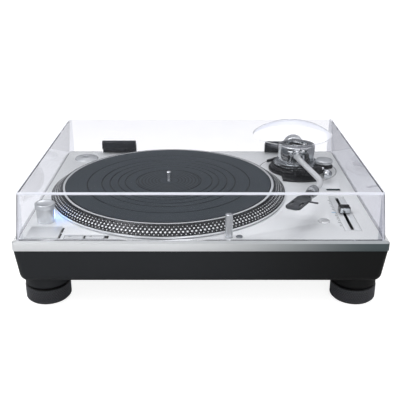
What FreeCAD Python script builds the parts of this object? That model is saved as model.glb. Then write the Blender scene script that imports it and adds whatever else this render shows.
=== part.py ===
import FreeCAD, Part
import math
import os

from FreeCAD import Placement, Rotation, Vector

# Direct drive turntable in millimetres.
# +X is to the right, +Y to the back and +Z up. The origin is on the floor under the middle of the deck plate.

# Clearances between pieces
RUNNING_FIT = 0.04
SLIDING_GAP = 0.3
SIDE_GAP = 0.35
THREAD_GAP = 0.05

# Heights of the stack, from the floor up
PAD_PROUD = 1.0
FOOT_SHELL_HEIGHT = 21.5
FOOT_GAP = 2.8
NECK_HEIGHT = 16.2
CABINET_HEIGHT = 45.5
PLATE_THICKNESS = 13.0

# Platter and the margins of deck plate around it
PLATTER_RADIUS = 166.0
LEFT_MARGIN = 17.1
RIGHT_MARGIN = 108.1
FRONT_MARGIN = 5.5
REAR_MARGIN = 15.5

# Deck plate
PLATE_CORNER = 5.0
PLATE_SKIN = 4.0
PLATE_RIM = 7.0
BEVEL_WIDTH = 4.0
BEVEL_HEIGHT = 3.0
WELL_RADIUS = 130.0

# Cabinet
CABINET_INSET = 0.5
CABINET_DRAFT_ANGLE = 4.5
CABINET_WALL = 5.0
CABINET_FLOOR = 5.0
CABINET_CORNER = 12.0
CABINET_TOP_CORNER = 6.0
CABINET_EDGE_ROUND = 11.0
SERVICE_WIDTH = 300.0
SERVICE_DEPTH = 200.0
SERVICE_LEDGE = 10.0
SERVICE_COVER = 3.0
SERVICE_SHIFT_Y = 0.0

# Feet
FOOT_RADIUS = 28.5
FOOT_FROM_SIDE = 29.0
FOOT_FROM_FRONT = 47.0
FOOT_TOP_CHAMFER = 1.0
FOOT_BOTTOM_CHAMFER = 2.2
NECK_TAPER_RADIUS = 19.5
NECK_TAPER_START = 3.0
NECK_TAPER_RISE = 18.0
STUD_RADIUS = 6.0
STUD_LENGTH = 16.5
STUD_BORE_SPARE = 2.5
PAD_RADIUS = 24.0
PAD_THICKNESS = 6.0

# Screws
SCREW_RADIUS = 2.0
SCREW_LENGTH = 8.0
SCREW_HEAD_RADIUS = 3.5
SCREW_HEAD_HEIGHT = 2.4
SCREW_SOCKET_RADIUS = 1.3
SCREW_SOCKET_DEPTH = 1.4
DECK_SCREW_COUNT = 5
DECK_SCREW_INSET = 9.0

# Motor and bearing
MOTOR_FLANGE_WIDTH = 16.0
MOTOR_FLANGE_THICKNESS = 3.5
MOTOR_WALL = 3.5
MOTOR_WELL_DEPTH = 18.0
MOTOR_FLOOR = 3.5
BEARING_BOSS_RADIUS = 18.0
BEARING_BOSS_DROP = 22.0
BEARING_BOSS_RISE = 8.5
SLEEVE_WALL = 5.0
SLEEVE_CAP = 4.0
STATOR_RADIUS = 80.0
STATOR_BORE = 22.0
STATOR_BOARD = 2.0
COIL_COUNT = 9
COIL_CIRCLE = 60.0
COIL_RADIUS = 14.0
COIL_BORE = 5.0
COIL_HEIGHT = 4.5
MAGNET_INNER = 42.0
MAGNET_GAP = 2.2

# Platter, mat and spindle
PLATTER_RISE = 1.3
RIM_BAND = 2.0
RIM_LIP_RADIUS = 151.3
RIM_LIP_HEIGHT = 13.4
RIM_LIP_BEVEL = 0.5
RIM_FOOT = 5.5
PLATTER_DISC = 4.0
MAT_RADIUS = 145.0
MAT_THICKNESS = 3.0
MAT_RECESS_GAP = 1.3
MAT_PROUD = 0.5
MAT_GROOVE_RADII = (115.5, 95.0, 83.4, 71.8, 62.3, 46.4)
MAT_GROOVE_HALF_WIDTH = 0.8
MAT_GROOVE_DEPTH = 0.8
MAT_HOLE_RADIUS = 4.2
HUB_RADIUS = 20.0
SPINDLE_SHAFT_RADIUS = 5.0
RECORD_SPINDLE_RADIUS = 3.575
RECORD_SPINDLE_HEIGHT = 13.0
SPINDLE_NOSE_HEIGHT = 1.4
SPINDLE_NOSE_RADIUS = 2.0

# Dust cover
COVER_SIDE_INSET = 5.2
COVER_FRONT_INSET = 2.0
COVER_REAR_INSET = 2.2
COVER_GAP = 0.5
COVER_HEIGHT = 59.8
COVER_WALL = 3.0
COVER_SIDE_DRAFT = 5.5
COVER_END_DRAFT = 3.4
COVER_CORNER = 6.0
COVER_EDGE_ROUND = 2.0
DOME_RADIUS = 60.0
DOME_RISE = 20.0
DOME_BEFORE_PIVOT = 6.5
DOME_LEFT_OF_PIVOT = 9.0
DOME_ROUND = 2.0

# Hinges
HINGE_SPACING = 272.8
HINGE_WIDTH = 56.0
HINGE_AXIS_FROM_REAR = 4.7
HINGE_AXIS_HEIGHT = 9.0
KNUCKLE_RADIUS = 4.5
KNUCKLE_WIDTH = 25.0
HINGE_PIN_RADIUS = 2.0
HINGE_SOCKET_DROP = 26.0
HINGE_SOCKET_THICKNESS = 5.9
HINGE_BLOCK_THICKNESS = 6.0
HINGE_BLOCK_RISE = 8.5
HINGE_BLOCK_HEIGHT = 12.5
HINGE_BLOCK_CHAMFER = 1.5
HINGE_NOTCH_RISE = 5.5
HINGE_NOTCH_SIDE = 1.0

# Start plate and speed buttons, measured from the plate's left and front edges
START_WIDTH = 39.4
START_DEPTH = 32.8
START_FROM_LEFT = 35.6
START_FROM_FRONT = 24.6
START_PROUD = 1.6
SPEED_WIDTH = 22.4
SPEED_DEPTH = 9.4
SPEED_FROM_LEFT = 74.4
SPEED_FROM_FRONT = 12.8
SPEED_PITCH = 25.4
SPEED_PROUD = 1.0
BUTTON_CORNER = 0.8
BUTTON_CAP_DEPTH = 5.0
BUTTON_STEM_RADIUS = 3.5
BUTTON_STEM_LENGTH = 7.0

# Strobe and power tower
TOWER_FROM_LEFT = 30.0
TOWER_FROM_FRONT = 61.5
TOWER_RADIUS = 11.3
TOWER_HEIGHT = 19.0
TOWER_SPIGOT_RADIUS = 6.0
TOWER_SPIGOT_LENGTH = 12.0
WINDOW_WIDTH = 13.0
WINDOW_HEIGHT = 12.0
WINDOW_RISE = 3.5
WINDOW_DEPTH = 4.0
POWER_KNOB_RADIUS = 12.6
POWER_KNOB_HEIGHT = 6.2
POWER_KNOB_DISH = 1.2
POWER_STEM_RADIUS = 3.0
POWER_STEM_LENGTH = 7.0

# Target light and its button
LIGHT_FROM_SPINDLE = 79.8
LIGHT_FROM_FRONT = 14.0
LIGHT_RADIUS = 4.6
LIGHT_HEIGHT = 30.3
LIGHT_TAIL = 12.0
LIGHT_TRAVEL = 27.0
LIGHT_BOSS_WALL = 3.0
LIGHT_BOSS_LENGTH = 8.0
TARGET_BUTTON_PITCH = 12.9
TARGET_BUTTON_RADIUS = 4.0
TARGET_BUTTON_PROUD = 1.2

# Pitch slider and reset button, measured from the plate's right and front edges
FADER_FROM_RIGHT = 38.3
FADER_FROM_FRONT = 90.1
FADER_SLOT_WIDTH = 4.4
FADER_SLOT_LENGTH = 110.0
PITCH_PANEL_WIDTH = 20.0
PITCH_PANEL_LENGTH = 116.0
PITCH_PANEL_THICKNESS = 1.6
PITCH_PANEL_SINK = 0.3
PITCH_PANEL_LEDGE = 2.0
FADER_BODY_WIDTH = 14.0
FADER_BODY_LENGTH = 124.0
FADER_BODY_HEIGHT = 12.0
FADER_BODY_FLOOR = 3.0
PITCH_KNOB_WIDTH = 14.5
PITCH_KNOB_DEPTH = 12.0
PITCH_KNOB_HEIGHT = 8.5
PITCH_KNOB_RISE = 1.2
PITCH_KNOB_DIP = 1.4
PITCH_STEM_DEPTH = 7.0
RESET_FROM_RIGHT = 69.8
RESET_FROM_FRONT = 60.5
RESET_RADIUS = 7.2
RESET_PROUD = 1.8

# Spare headshell slot and record adapter
SHELL_SLOT_FROM_RIGHT = 37.1
SHELL_SLOT_FROM_FRONT = 171.5
SHELL_SLOT_WIDTH = 20.0
SHELL_SLOT_DEPTH = 8.0
SHELL_SLOT_SINK = 10.0
SHELL_SLOT_WALL = 2.0
ADAPTER_FROM_LEFT = 41.2
ADAPTER_FROM_REAR = 37.5
ADAPTER_RADIUS = 19.0
ADAPTER_HEIGHT = 6.0
ADAPTER_SINK = 2.5
ADAPTER_CONE_RADIUS = 9.0

# Arm base
PIVOT_TO_RIM = 49.0
PIVOT_BEARING = 25.2
FLANGE_RIM_GAP = 7.0
FLANGE_THICKNESS = 3.0
FLANGE_LOBE_WIDTH = 52.0
FLANGE_LOBE_RADIUS = 62.0
FLANGE_CHAMFER = 0.8
HEIGHT_RING_STEP = 2.5
HEIGHT_RING_THICKNESS = 5.2
HEIGHT_RING_BEVEL = 2.2
BRACKET_THICKNESS = 2.0
BRACKET_RADIUS = 34.0
PILLAR_COLUMN_RADIUS = 25.0
PILLAR_COLUMN_DROP = 20.0
PILLAR_DISC_RADIUS = 34.5
PILLAR_DISC_THICKNESS = 4.1
PILLAR_STEPS = 3
PILLAR_STEP_WIDTH = 1.2
LOCK_BEARING = 129.0
LOCK_LEVER_BEARING = 219.0
LOCK_TONGUE_RADIUS = 6.0
LOCK_PIN_RADIUS = 2.0
LOCK_HUB_RADIUS = 3.2
LOCK_HUB_GAP = 1.0
LOCK_LEVER_LENGTH = 18.0
LOCK_LEVER_WIDTH = 3.4
LOCK_LEVER_HEIGHT = 4.0

# Gimbal, in the arm's own frame with the tube along -Y and the pivot at the origin
PIVOT_HEIGHT = 25.5
YOKE_RADIUS = 28.0
YOKE_WALL = 3.5
YOKE_BASE = 2.2
YOKE_RISE = 16.0
YOKE_LIP_INNER = 17.0
YOKE_LIP_THICKNESS = 3.0
YOKE_WINDOW = 30.0
YOKE_SHAFT_RADIUS = 4.0
YOKE_SHAFT_LENGTH = 20.0
BLOCK_RADIUS = 6.5
BLOCK_HALF_LENGTH = 12.0
TRUNNION_RADIUS = 3.2
TRUNNION_SIDE_GAP = 0.5
PIVOT_PIN_RADIUS = 1.5
PIVOT_PIN_REACH = 4.5
FERRULE_RADIUS = 5.4
FERRULE_LENGTH = 8.0
STUB_RADIUS = 4.0
STUB_LENGTH = 62.0

# Arm tube
TUBE_RADIUS = 4.0
TUBE_WALL = 0.8
TUBE_FIRST_RUN = 27.0
TUBE_OUTWARD_ANGLE = 11.8
TUBE_OUTWARD_RADIUS = 60.0
TUBE_MIDDLE_RUN = 117.7
TUBE_INWARD_ANGLE = 39.1
TUBE_INWARD_RADIUS = 64.0
TUBE_HEAD_RUN = 46.8
PARK_BEARING = -93.0
PARK_RISE = 1.6
SOCKET_WALL = 1.2
SOCKET_DEPTH = 13.0
SOCKET_WEB = 2.0
PLUG_RADIUS = 4.0
PLUG_LENGTH = 12.0

# Headshell and collar
COLLAR_WALL = 1.7
COLLAR_LENGTH = 14.0
COLLAR_SETBACK = 0.5
SHELL_LENGTH = 62.0
SHELL_WIDTH = 19.0
SHELL_THICKNESS = 3.0
SHELL_NECK_LENGTH = 15.0
SHELL_NECK_WIDTH = 9.5
SHELL_NECK_HEIGHT = 7.5
SHELL_NOSE_CUT = 4.0
SHELL_SLOT_PITCH = 12.7
SHELL_BOLT_SLOT_WIDTH = 3.2
SHELL_BOLT_SLOT_LENGTH = 15.0
SHELL_BOLT_SLOT_REACH = 46.0
FINGER_RADIUS = 1.1
FINGER_REACH = 13.0
FINGER_STATION = 28.0
FINGER_CURL = 5.0

# Counterweight
FORCE_RING_START = 36.5
FORCE_RING_LENGTH = 4.5
FORCE_RING_RADIUS = 13.5
WEIGHT_GAP = 0.4
WEIGHT_LENGTH = 22.0
WEIGHT_RADIUS = 16.2
WEIGHT_CHAMFER = 1.2
WEIGHT_SLEEVE_WALL = 1.4

# Arm rest and its latch
REST_STATION = 25.0
REST_SIDE = 8.5
REST_POST_RADIUS = 4.0
REST_PAD_RADIUS = 8.0
REST_SHELF_THICKNESS = 2.5
REST_SHELF_DEPTH = 6.0
REST_EAR_HEIGHT = 6.5
REST_EAR_THICKNESS = 2.4
CLIP_AXIS_RADIUS = 1.0
CLIP_THICKNESS = 1.5
CLIP_LENGTH = 12.0
CLIP_EYE_RADIUS = 2.0
CLIP_OPEN_ANGLE = 75.0

# Lift and its lever
LIFT_BAR_REACH = 38.5
LIFT_BAR_START = -136.0
LIFT_BAR_END = -80.0
LIFT_BAR_WIDTH = 3.0
LIFT_BAR_THICKNESS = 1.8
LIFT_BAR_RISE = 5.2
LIFT_ROD_REACH = 45.0
LIFT_BEARING = -98.0
LIFT_ROD_RADIUS = 2.2
LIFT_ROD_LENGTH = 12.5
LIFT_GUIDE_WALL = 2.0
LIFT_GUIDE_HEIGHT = 3.0
LIFT_LOBE_RADIUS = 6.0
CUE_OFFSET_X = 28.0
CUE_OFFSET_Y = -41.0
CUE_LOBE_RADIUS = 8.0
CUE_POST_WIDTH = 10.0
CUE_POST_HEIGHT = 6.0
CUE_AXLE_RADIUS = 1.5
CUE_KNOB_RADIUS = 7.0
CUE_LEVER_REACH = 17.0
CUE_LEVER_SIDE = 11.0
CUE_LEVER_THICKNESS = 3.0
CUE_KNOB_SINK = 2.0

# Anti-skate dial
SKATE_OFFSET_X = 41.0
SKATE_OFFSET_Y = -15.0
SKATE_LOBE_RADIUS = 14.0
SKATE_DIAL_RADIUS = 13.0
SKATE_DIAL_HEIGHT = 5.5
SKATE_DIAL_CHAMFER = 1.2
SKATE_POST_RADIUS = 3.0
SKATE_BOSS_RADIUS = 8.0

# Rear sockets
OUTPUT_FROM_RIGHT = 100.6
OUTPUT_Z = 66.0
OUTPUT_WIDTH = 62.0
OUTPUT_HEIGHT = 22.0
OUTPUT_PLATE = 2.5
OUTPUT_SINK = 7.0
JACK_PITCH = 18.0
JACK_SHIFT = -12.0
JACK_RADIUS = 4.15
JACK_LENGTH = 8.5
JACK_BORE_RADIUS = 1.7
JACK_BORE_DEPTH = 7.0
JACK_TAIL = 8.0
JACK_TAIL_RADIUS = 3.0
GROUND_SHIFT = 20.0
GROUND_RADIUS = 5.0
GROUND_LENGTH = 7.0
GROUND_STUD_RADIUS = 2.0
INLET_FROM_LEFT = 78.6
INLET_Z = 64.0
INLET_WIDTH = 28.0
INLET_HEIGHT = 20.0
INLET_DEPTH = 24.0
INLET_SOCKET_WALL = 2.0
INLET_SOCKET_DEPTH = 16.0
INLET_PIN_SIZE = 2.0
INLET_PIN_LENGTH = 12.0
INLET_PIN_PITCH = 7.0
INLET_FLANGE_SIDE = 3.0
INLET_FLANGE_THICKNESS = 2.5
INLET_SINK = 5.0
REAR_BOSS_DEPTH = 14.0

# Circuit boards
BOARD_THICKNESS = 1.6
BOARD_STANDOFF = 6.0
STANDOFF_RADIUS = 3.0
STANDOFF_INSET = 6.0
CONTROL_CENTRE = (52.0, 10.0)
CONTROL_SIZE = (130.0, 90.0)
POWER_CENTRE = (-104.0, 0.0)
POWER_SIZE = (70.0, 150.0)
CHIP_HEIGHT = 2.5
HEATSINK_HEIGHT = 15.0
TRANSFORMER_HEIGHT = 14.0

# Levels
NECK_BOTTOM = PAD_PROUD + FOOT_SHELL_HEIGHT + FOOT_GAP
CABINET_BOTTOM = NECK_BOTTOM + NECK_HEIGHT
CABINET_TOP = CABINET_BOTTOM + CABINET_HEIGHT
DECK = CABINET_TOP + PLATE_THICKNESS
SKIN_BOTTOM = DECK - PLATE_SKIN

# Plan of the deck
MAGNET_OUTER = STATOR_RADIUS
PLATE_WIDTH = LEFT_MARGIN + 2 * PLATTER_RADIUS + RIGHT_MARGIN
PLATE_DEPTH = FRONT_MARGIN + 2 * PLATTER_RADIUS + REAR_MARGIN
LEFT = -PLATE_WIDTH / 2
RIGHT = PLATE_WIDTH / 2
FRONT = -PLATE_DEPTH / 2
REAR = PLATE_DEPTH / 2
OUTPUT_X = RIGHT - OUTPUT_FROM_RIGHT
INLET_X = LEFT + INLET_FROM_LEFT


def polar(centre, radius, bearing):
    """A plan point at a distance and a bearing, in degrees from +X, from another."""
    angle = math.radians(bearing)
    return (centre[0] + radius * math.cos(angle), centre[1] + radius * math.sin(angle))


SPINDLE = (LEFT + LEFT_MARGIN + PLATTER_RADIUS, FRONT + FRONT_MARGIN + PLATTER_RADIUS)
PIVOT = polar(SPINDLE, PLATTER_RADIUS + PIVOT_TO_RIM, PIVOT_BEARING)
START = (LEFT + START_FROM_LEFT, FRONT + START_FROM_FRONT)
SPEED_33 = (LEFT + SPEED_FROM_LEFT, FRONT + SPEED_FROM_FRONT)
SPEED_45 = (SPEED_33[0] + SPEED_PITCH, SPEED_33[1])
TOWER = (LEFT + TOWER_FROM_LEFT, FRONT + TOWER_FROM_FRONT)
LIGHT = (SPINDLE[0] + LIGHT_FROM_SPINDLE, FRONT + LIGHT_FROM_FRONT)
TARGET_BUTTON = (LIGHT[0] + TARGET_BUTTON_PITCH, LIGHT[1])
FADER = (RIGHT - FADER_FROM_RIGHT, FRONT + FADER_FROM_FRONT)
RESET = (RIGHT - RESET_FROM_RIGHT, FRONT + RESET_FROM_FRONT)
SHELL_SLOT = (RIGHT - SHELL_SLOT_FROM_RIGHT, FRONT + SHELL_SLOT_FROM_FRONT)
ADAPTER = (LEFT + ADAPTER_FROM_LEFT, REAR - ADAPTER_FROM_REAR)
SKATE = (PIVOT[0] + SKATE_OFFSET_X, PIVOT[1] + SKATE_OFFSET_Y)
CUE = (PIVOT[0] + CUE_OFFSET_X, PIVOT[1] + CUE_OFFSET_Y)
LIFT_ROD = polar(PIVOT, LIFT_ROD_REACH, LIFT_BEARING)
MIDDLE_BEARING = PARK_BEARING + TUBE_OUTWARD_ANGLE
FIRST_CORNER = polar(PIVOT, TUBE_FIRST_RUN, PARK_BEARING)
REST_TUBE = polar(FIRST_CORNER, REST_STATION, MIDDLE_BEARING)
REST_POST = polar(REST_TUBE, REST_SIDE, MIDDLE_BEARING + 90)
LOCK_REACH = PIVOT_TO_RIM - FLANGE_RIM_GAP - HEIGHT_RING_STEP + LOCK_HUB_GAP + LOCK_HUB_RADIUS
LOCK = polar(PIVOT, LOCK_REACH, LOCK_BEARING)
FEET = {
    "fl": (LEFT + FOOT_FROM_SIDE, FRONT + FOOT_FROM_FRONT),
    "fr": (RIGHT - FOOT_FROM_SIDE, FRONT + FOOT_FROM_FRONT),
    "rl": (LEFT + FOOT_FROM_SIDE, REAR - FOOT_FROM_FRONT),
    "rr": (RIGHT - FOOT_FROM_SIDE, REAR - FOOT_FROM_FRONT),
}
HINGES = (-HINGE_SPACING / 2, HINGE_SPACING / 2)

# Levels of the arm base, from the deck up
FLANGE_RADIUS = PIVOT_TO_RIM - FLANGE_RIM_GAP
FLANGE_TOP = DECK + FLANGE_THICKNESS
HEIGHT_RING_BOTTOM = FLANGE_TOP + SLIDING_GAP
HEIGHT_RING_TOP = HEIGHT_RING_BOTTOM + HEIGHT_RING_THICKNESS
BRACKET_BOTTOM = HEIGHT_RING_TOP + SLIDING_GAP
BRACKET_TOP = BRACKET_BOTTOM + BRACKET_THICKNESS
PILLAR_TOP = BRACKET_TOP + PILLAR_DISC_THICKNESS
YOKE_BOTTOM = PILLAR_TOP + SLIDING_GAP
PIVOT_LEVEL = DECK + PIVOT_HEIGHT

# Levels of the motor and the platter
MOTOR_FLOOR_BOTTOM = SKIN_BOTTOM - MOTOR_WELL_DEPTH
MOTOR_FLOOR_TOP = MOTOR_FLOOR_BOTTOM + MOTOR_FLOOR
BOSS_BOTTOM = MOTOR_FLOOR_BOTTOM - BEARING_BOSS_DROP
BOSS_TOP = MOTOR_FLOOR_TOP + BEARING_BOSS_RISE
SLEEVE_RADIUS = SPINDLE_SHAFT_RADIUS + SLEEVE_WALL
COIL_TOP = MOTOR_FLOOR_TOP + STATOR_BOARD + COIL_HEIGHT
MAGNET_BOTTOM = COIL_TOP + MAGNET_GAP
PLATTER_LOW = DECK + PLATTER_RISE
LIP_TOP = DECK + RIM_LIP_HEIGHT
MAT_TOP = LIP_TOP + MAT_PROUD
MAT_FLOOR = MAT_TOP - MAT_THICKNESS
DISC_BOTTOM = MAT_FLOOR - PLATTER_DISC


def point(plan, level):
    """A space point over a plan position."""
    return Vector(plan[0], plan[1], level)


def disc(radius, low, high, at=(0.0, 0.0)):
    """A round bar that stands from low to high."""
    return Part.makeCylinder(radius, high - low, point(at, low))


def pipe(outer, inner, low, high, at=(0.0, 0.0)):
    """A round bar with a bore all the way through."""
    return disc(outer, low, high, at).cut(disc(inner, low - 1, high + 1, at))


def block(x, y, z):
    """A box given by its low and high coordinate on each axis."""
    return Part.makeBox(x[1] - x[0], y[1] - y[0], z[1] - z[0], Vector(x[0], y[0], z[0]))


def centred(at, width, depth, z):
    """A box centred on a plan position."""
    return block((at[0] - width / 2, at[0] + width / 2), (at[1] - depth / 2, at[1] + depth / 2), z)


def rounded_wire(x, y, level, radius):
    """A closed rectangle with round corners, at one level."""
    (x0, x1), (y0, y1) = x, y
    corners = ((x1, y1, 0), (x0, y1, 90), (x0, y0, 180), (x1, y0, 270))
    edges = []
    last = None
    first = None
    for cx, cy, start in corners:
        inward = polar((0, 0), radius * math.sqrt(2), start + 45)
        centre = (cx - inward[0], cy - inward[1])
        points = [point(polar(centre, radius, start + turn), level) for turn in (0, 45, 90)]
        if last is not None:
            edges.append(Part.LineSegment(last, points[0]).toShape())
        else:
            first = points[0]
        edges.append(Part.Arc(*points).toShape())
        last = points[2]
    edges.append(Part.LineSegment(last, first).toShape())
    return Part.Wire(edges)


def rounded_plate(x, y, z, radius):
    """An upright prism over a rectangle with round corners."""
    face = Part.Face(rounded_wire(x, y, z[0], radius))
    return face.extrude(Vector(0, 0, z[1] - z[0]))


def rounded_centred(at, width, depth, z, radius):
    """A rounded plate centred on a plan position."""
    x = (at[0] - width / 2, at[0] + width / 2)
    y = (at[1] - depth / 2, at[1] + depth / 2)
    return rounded_plate(x, y, z, radius)


def turned(profile, at=(0.0, 0.0)):
    """A solid turned about an upright axis from (radius, level) points."""
    points = [Vector(r, 0, z) for r, z in profile]
    face = Part.Face(Part.makePolygon(points + points[:1]))
    solid = face.revolve(Vector(0, 0, 0), Vector(0, 0, 1), 360)
    solid.translate(Vector(at[0], at[1], 0))
    return solid


def knob(radius, low, high, chamfer, at=(0.0, 0.0)):
    """A round cap with a chamfered top edge."""
    outline = [(0, low), (radius, low), (radius, high - chamfer), (radius - chamfer, high), (0, high)]
    return turned(outline, at)


def joined(first, *others):
    """One solid from pieces that touch or overlap."""
    return first.fuse(list(others)).removeSplitter()


def aimed(solid, start, direction):
    """Lays a solid built up the Z axis from the origin along a direction from a start point."""
    moved = solid.copy()
    turn = Rotation(Vector(0, 0, 1), direction)
    moved.Placement = Placement(start, turn).multiply(moved.Placement)
    return moved


def bar(radius, start, end):
    """A round bar between two space points."""
    along = end.sub(start)
    return Part.makeCylinder(radius, along.Length, start, along)


def edges_at(shape, level):
    """The edges that lie wholly at one level."""
    close = 0.001
    return [e for e in shape.Edges if all(abs(v.Z - level) < close for v in e.Vertexes)]


def save(name, shape):
    """Writes one piece, or one group of like pieces, under its name."""
    shape.exportStep("parts/" + name + ".step")
    print(name, len(shape.Solids), "solid(s)", round(shape.Volume / 1000, 2), "cm3", shape.isValid())


# The chassis

def deck_screw_places():
    """Plan positions of the screws that hold the motor base under the deck."""
    circle = WELL_RADIUS + DECK_SCREW_INSET
    step = 360 / DECK_SCREW_COUNT
    return [polar(SPINDLE, circle, 90 + step * n) for n in range(DECK_SCREW_COUNT)]


def service_screw_places():
    """Plan positions of the screws that hold the bottom cover."""
    half_x = SERVICE_WIDTH / 2 - SERVICE_LEDGE / 2
    half_y = SERVICE_DEPTH / 2 - SERVICE_LEDGE / 2
    places = [(x, SERVICE_SHIFT_Y + y) for x in (-half_x, 0, half_x) for y in (-half_y, half_y)]
    return places + [(-half_x, SERVICE_SHIFT_Y), (half_x, SERVICE_SHIFT_Y)]


def hinge_pocket(centre):
    """The room at the back edge that a hinge socket fills."""
    x = (centre - HINGE_WIDTH / 2, centre + HINGE_WIDTH / 2)
    y = (REAR - HINGE_SOCKET_THICKNESS, REAR + 1)
    return block(x, y, (DECK - HINGE_SOCKET_DROP, DECK + 1))


def top_plate():
    """The deck: a thin skin with a deep rim, its wells, holes and recesses."""
    x = (LEFT, RIGHT)
    y = (FRONT, REAR)
    bevel_x = (LEFT + BEVEL_WIDTH, RIGHT - BEVEL_WIDTH)
    bevel_y = (FRONT + BEVEL_WIDTH, REAR - BEVEL_WIDTH)
    shoulder = DECK - BEVEL_HEIGHT
    lower = rounded_plate(x, y, (CABINET_TOP, shoulder), PLATE_CORNER)
    bevel_wires = [
        rounded_wire(x, y, shoulder, PLATE_CORNER),
        rounded_wire(bevel_x, bevel_y, DECK, PLATE_CORNER),
    ]
    plate = joined(lower, Part.makeLoft(bevel_wires, True, True))
    inner_x = (LEFT + PLATE_RIM, RIGHT - PLATE_RIM)
    inner_y = (FRONT + PLATE_RIM, REAR - PLATE_RIM)
    plate = plate.cut(rounded_plate(inner_x, inner_y, (CABINET_TOP - 1, SKIN_BOTTOM), PLATE_CORNER))
    boss_low = SKIN_BOTTOM - LIGHT_BOSS_LENGTH
    boss = disc(LIGHT_RADIUS + SLIDING_GAP + LIGHT_BOSS_WALL, boss_low, DECK - 1, LIGHT)
    slot_low = DECK - SHELL_SLOT_SINK
    slot_width = SHELL_SLOT_WIDTH + 2 * SHELL_SLOT_WALL
    slot_depth = SHELL_SLOT_DEPTH + 2 * SHELL_SLOT_WALL
    slot_box = centred(SHELL_SLOT, slot_width, slot_depth, (slot_low - SHELL_SLOT_WALL, DECK - 1))
    plate = joined(plate, boss, slot_box)
    through = (boss_low - 1, DECK + 1)
    holes = [
        disc(WELL_RADIUS, *through, SPINDLE),
        disc(PILLAR_COLUMN_RADIUS + SLIDING_GAP, *through, PIVOT),
        button_hole(START, START_WIDTH, START_DEPTH),
        button_hole(SPEED_33, SPEED_WIDTH, SPEED_DEPTH),
        button_hole(SPEED_45, SPEED_WIDTH, SPEED_DEPTH),
        disc(LIGHT_RADIUS + SLIDING_GAP, *through, LIGHT),
        disc(TARGET_BUTTON_RADIUS + SLIDING_GAP, *through, TARGET_BUTTON),
        disc(RESET_RADIUS + SLIDING_GAP, *through, RESET),
        disc(TOWER_SPIGOT_RADIUS + RUNNING_FIT, *through, TOWER),
        disc(ADAPTER_RADIUS + SIDE_GAP, DECK - ADAPTER_SINK, DECK + 1, ADAPTER),
        rounded_centred(SHELL_SLOT, SHELL_SLOT_WIDTH, SHELL_SLOT_DEPTH, (slot_low, DECK + 1), 1.0),
        pitch_recess(),
    ]
    holes += [disc(SCREW_RADIUS + THREAD_GAP, *through, place) for place in deck_screw_places()]
    holes += [hinge_pocket(centre) for centre in HINGES]
    return plate.cut(holes)


def button_hole(at, width, depth):
    """The opening in the deck for a rectangular button."""
    gap = 2 * SLIDING_GAP
    levels = (SKIN_BOTTOM - 1, DECK + 1)
    return rounded_centred(at, width + gap, depth + gap, levels, BUTTON_CORNER)


def pitch_recess():
    """The stepped opening that takes the pitch panel."""
    seat = DECK - PITCH_PANEL_SINK - PITCH_PANEL_THICKNESS
    recess = centred(FADER, PITCH_PANEL_WIDTH, PITCH_PANEL_LENGTH, (seat, DECK + 1))
    width = PITCH_PANEL_WIDTH - 2 * PITCH_PANEL_LEDGE
    length = PITCH_PANEL_LENGTH - 2 * PITCH_PANEL_LEDGE
    return joined(recess, centred(FADER, width, length, (SKIN_BOTTOM - 1, seat + 1)))


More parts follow.
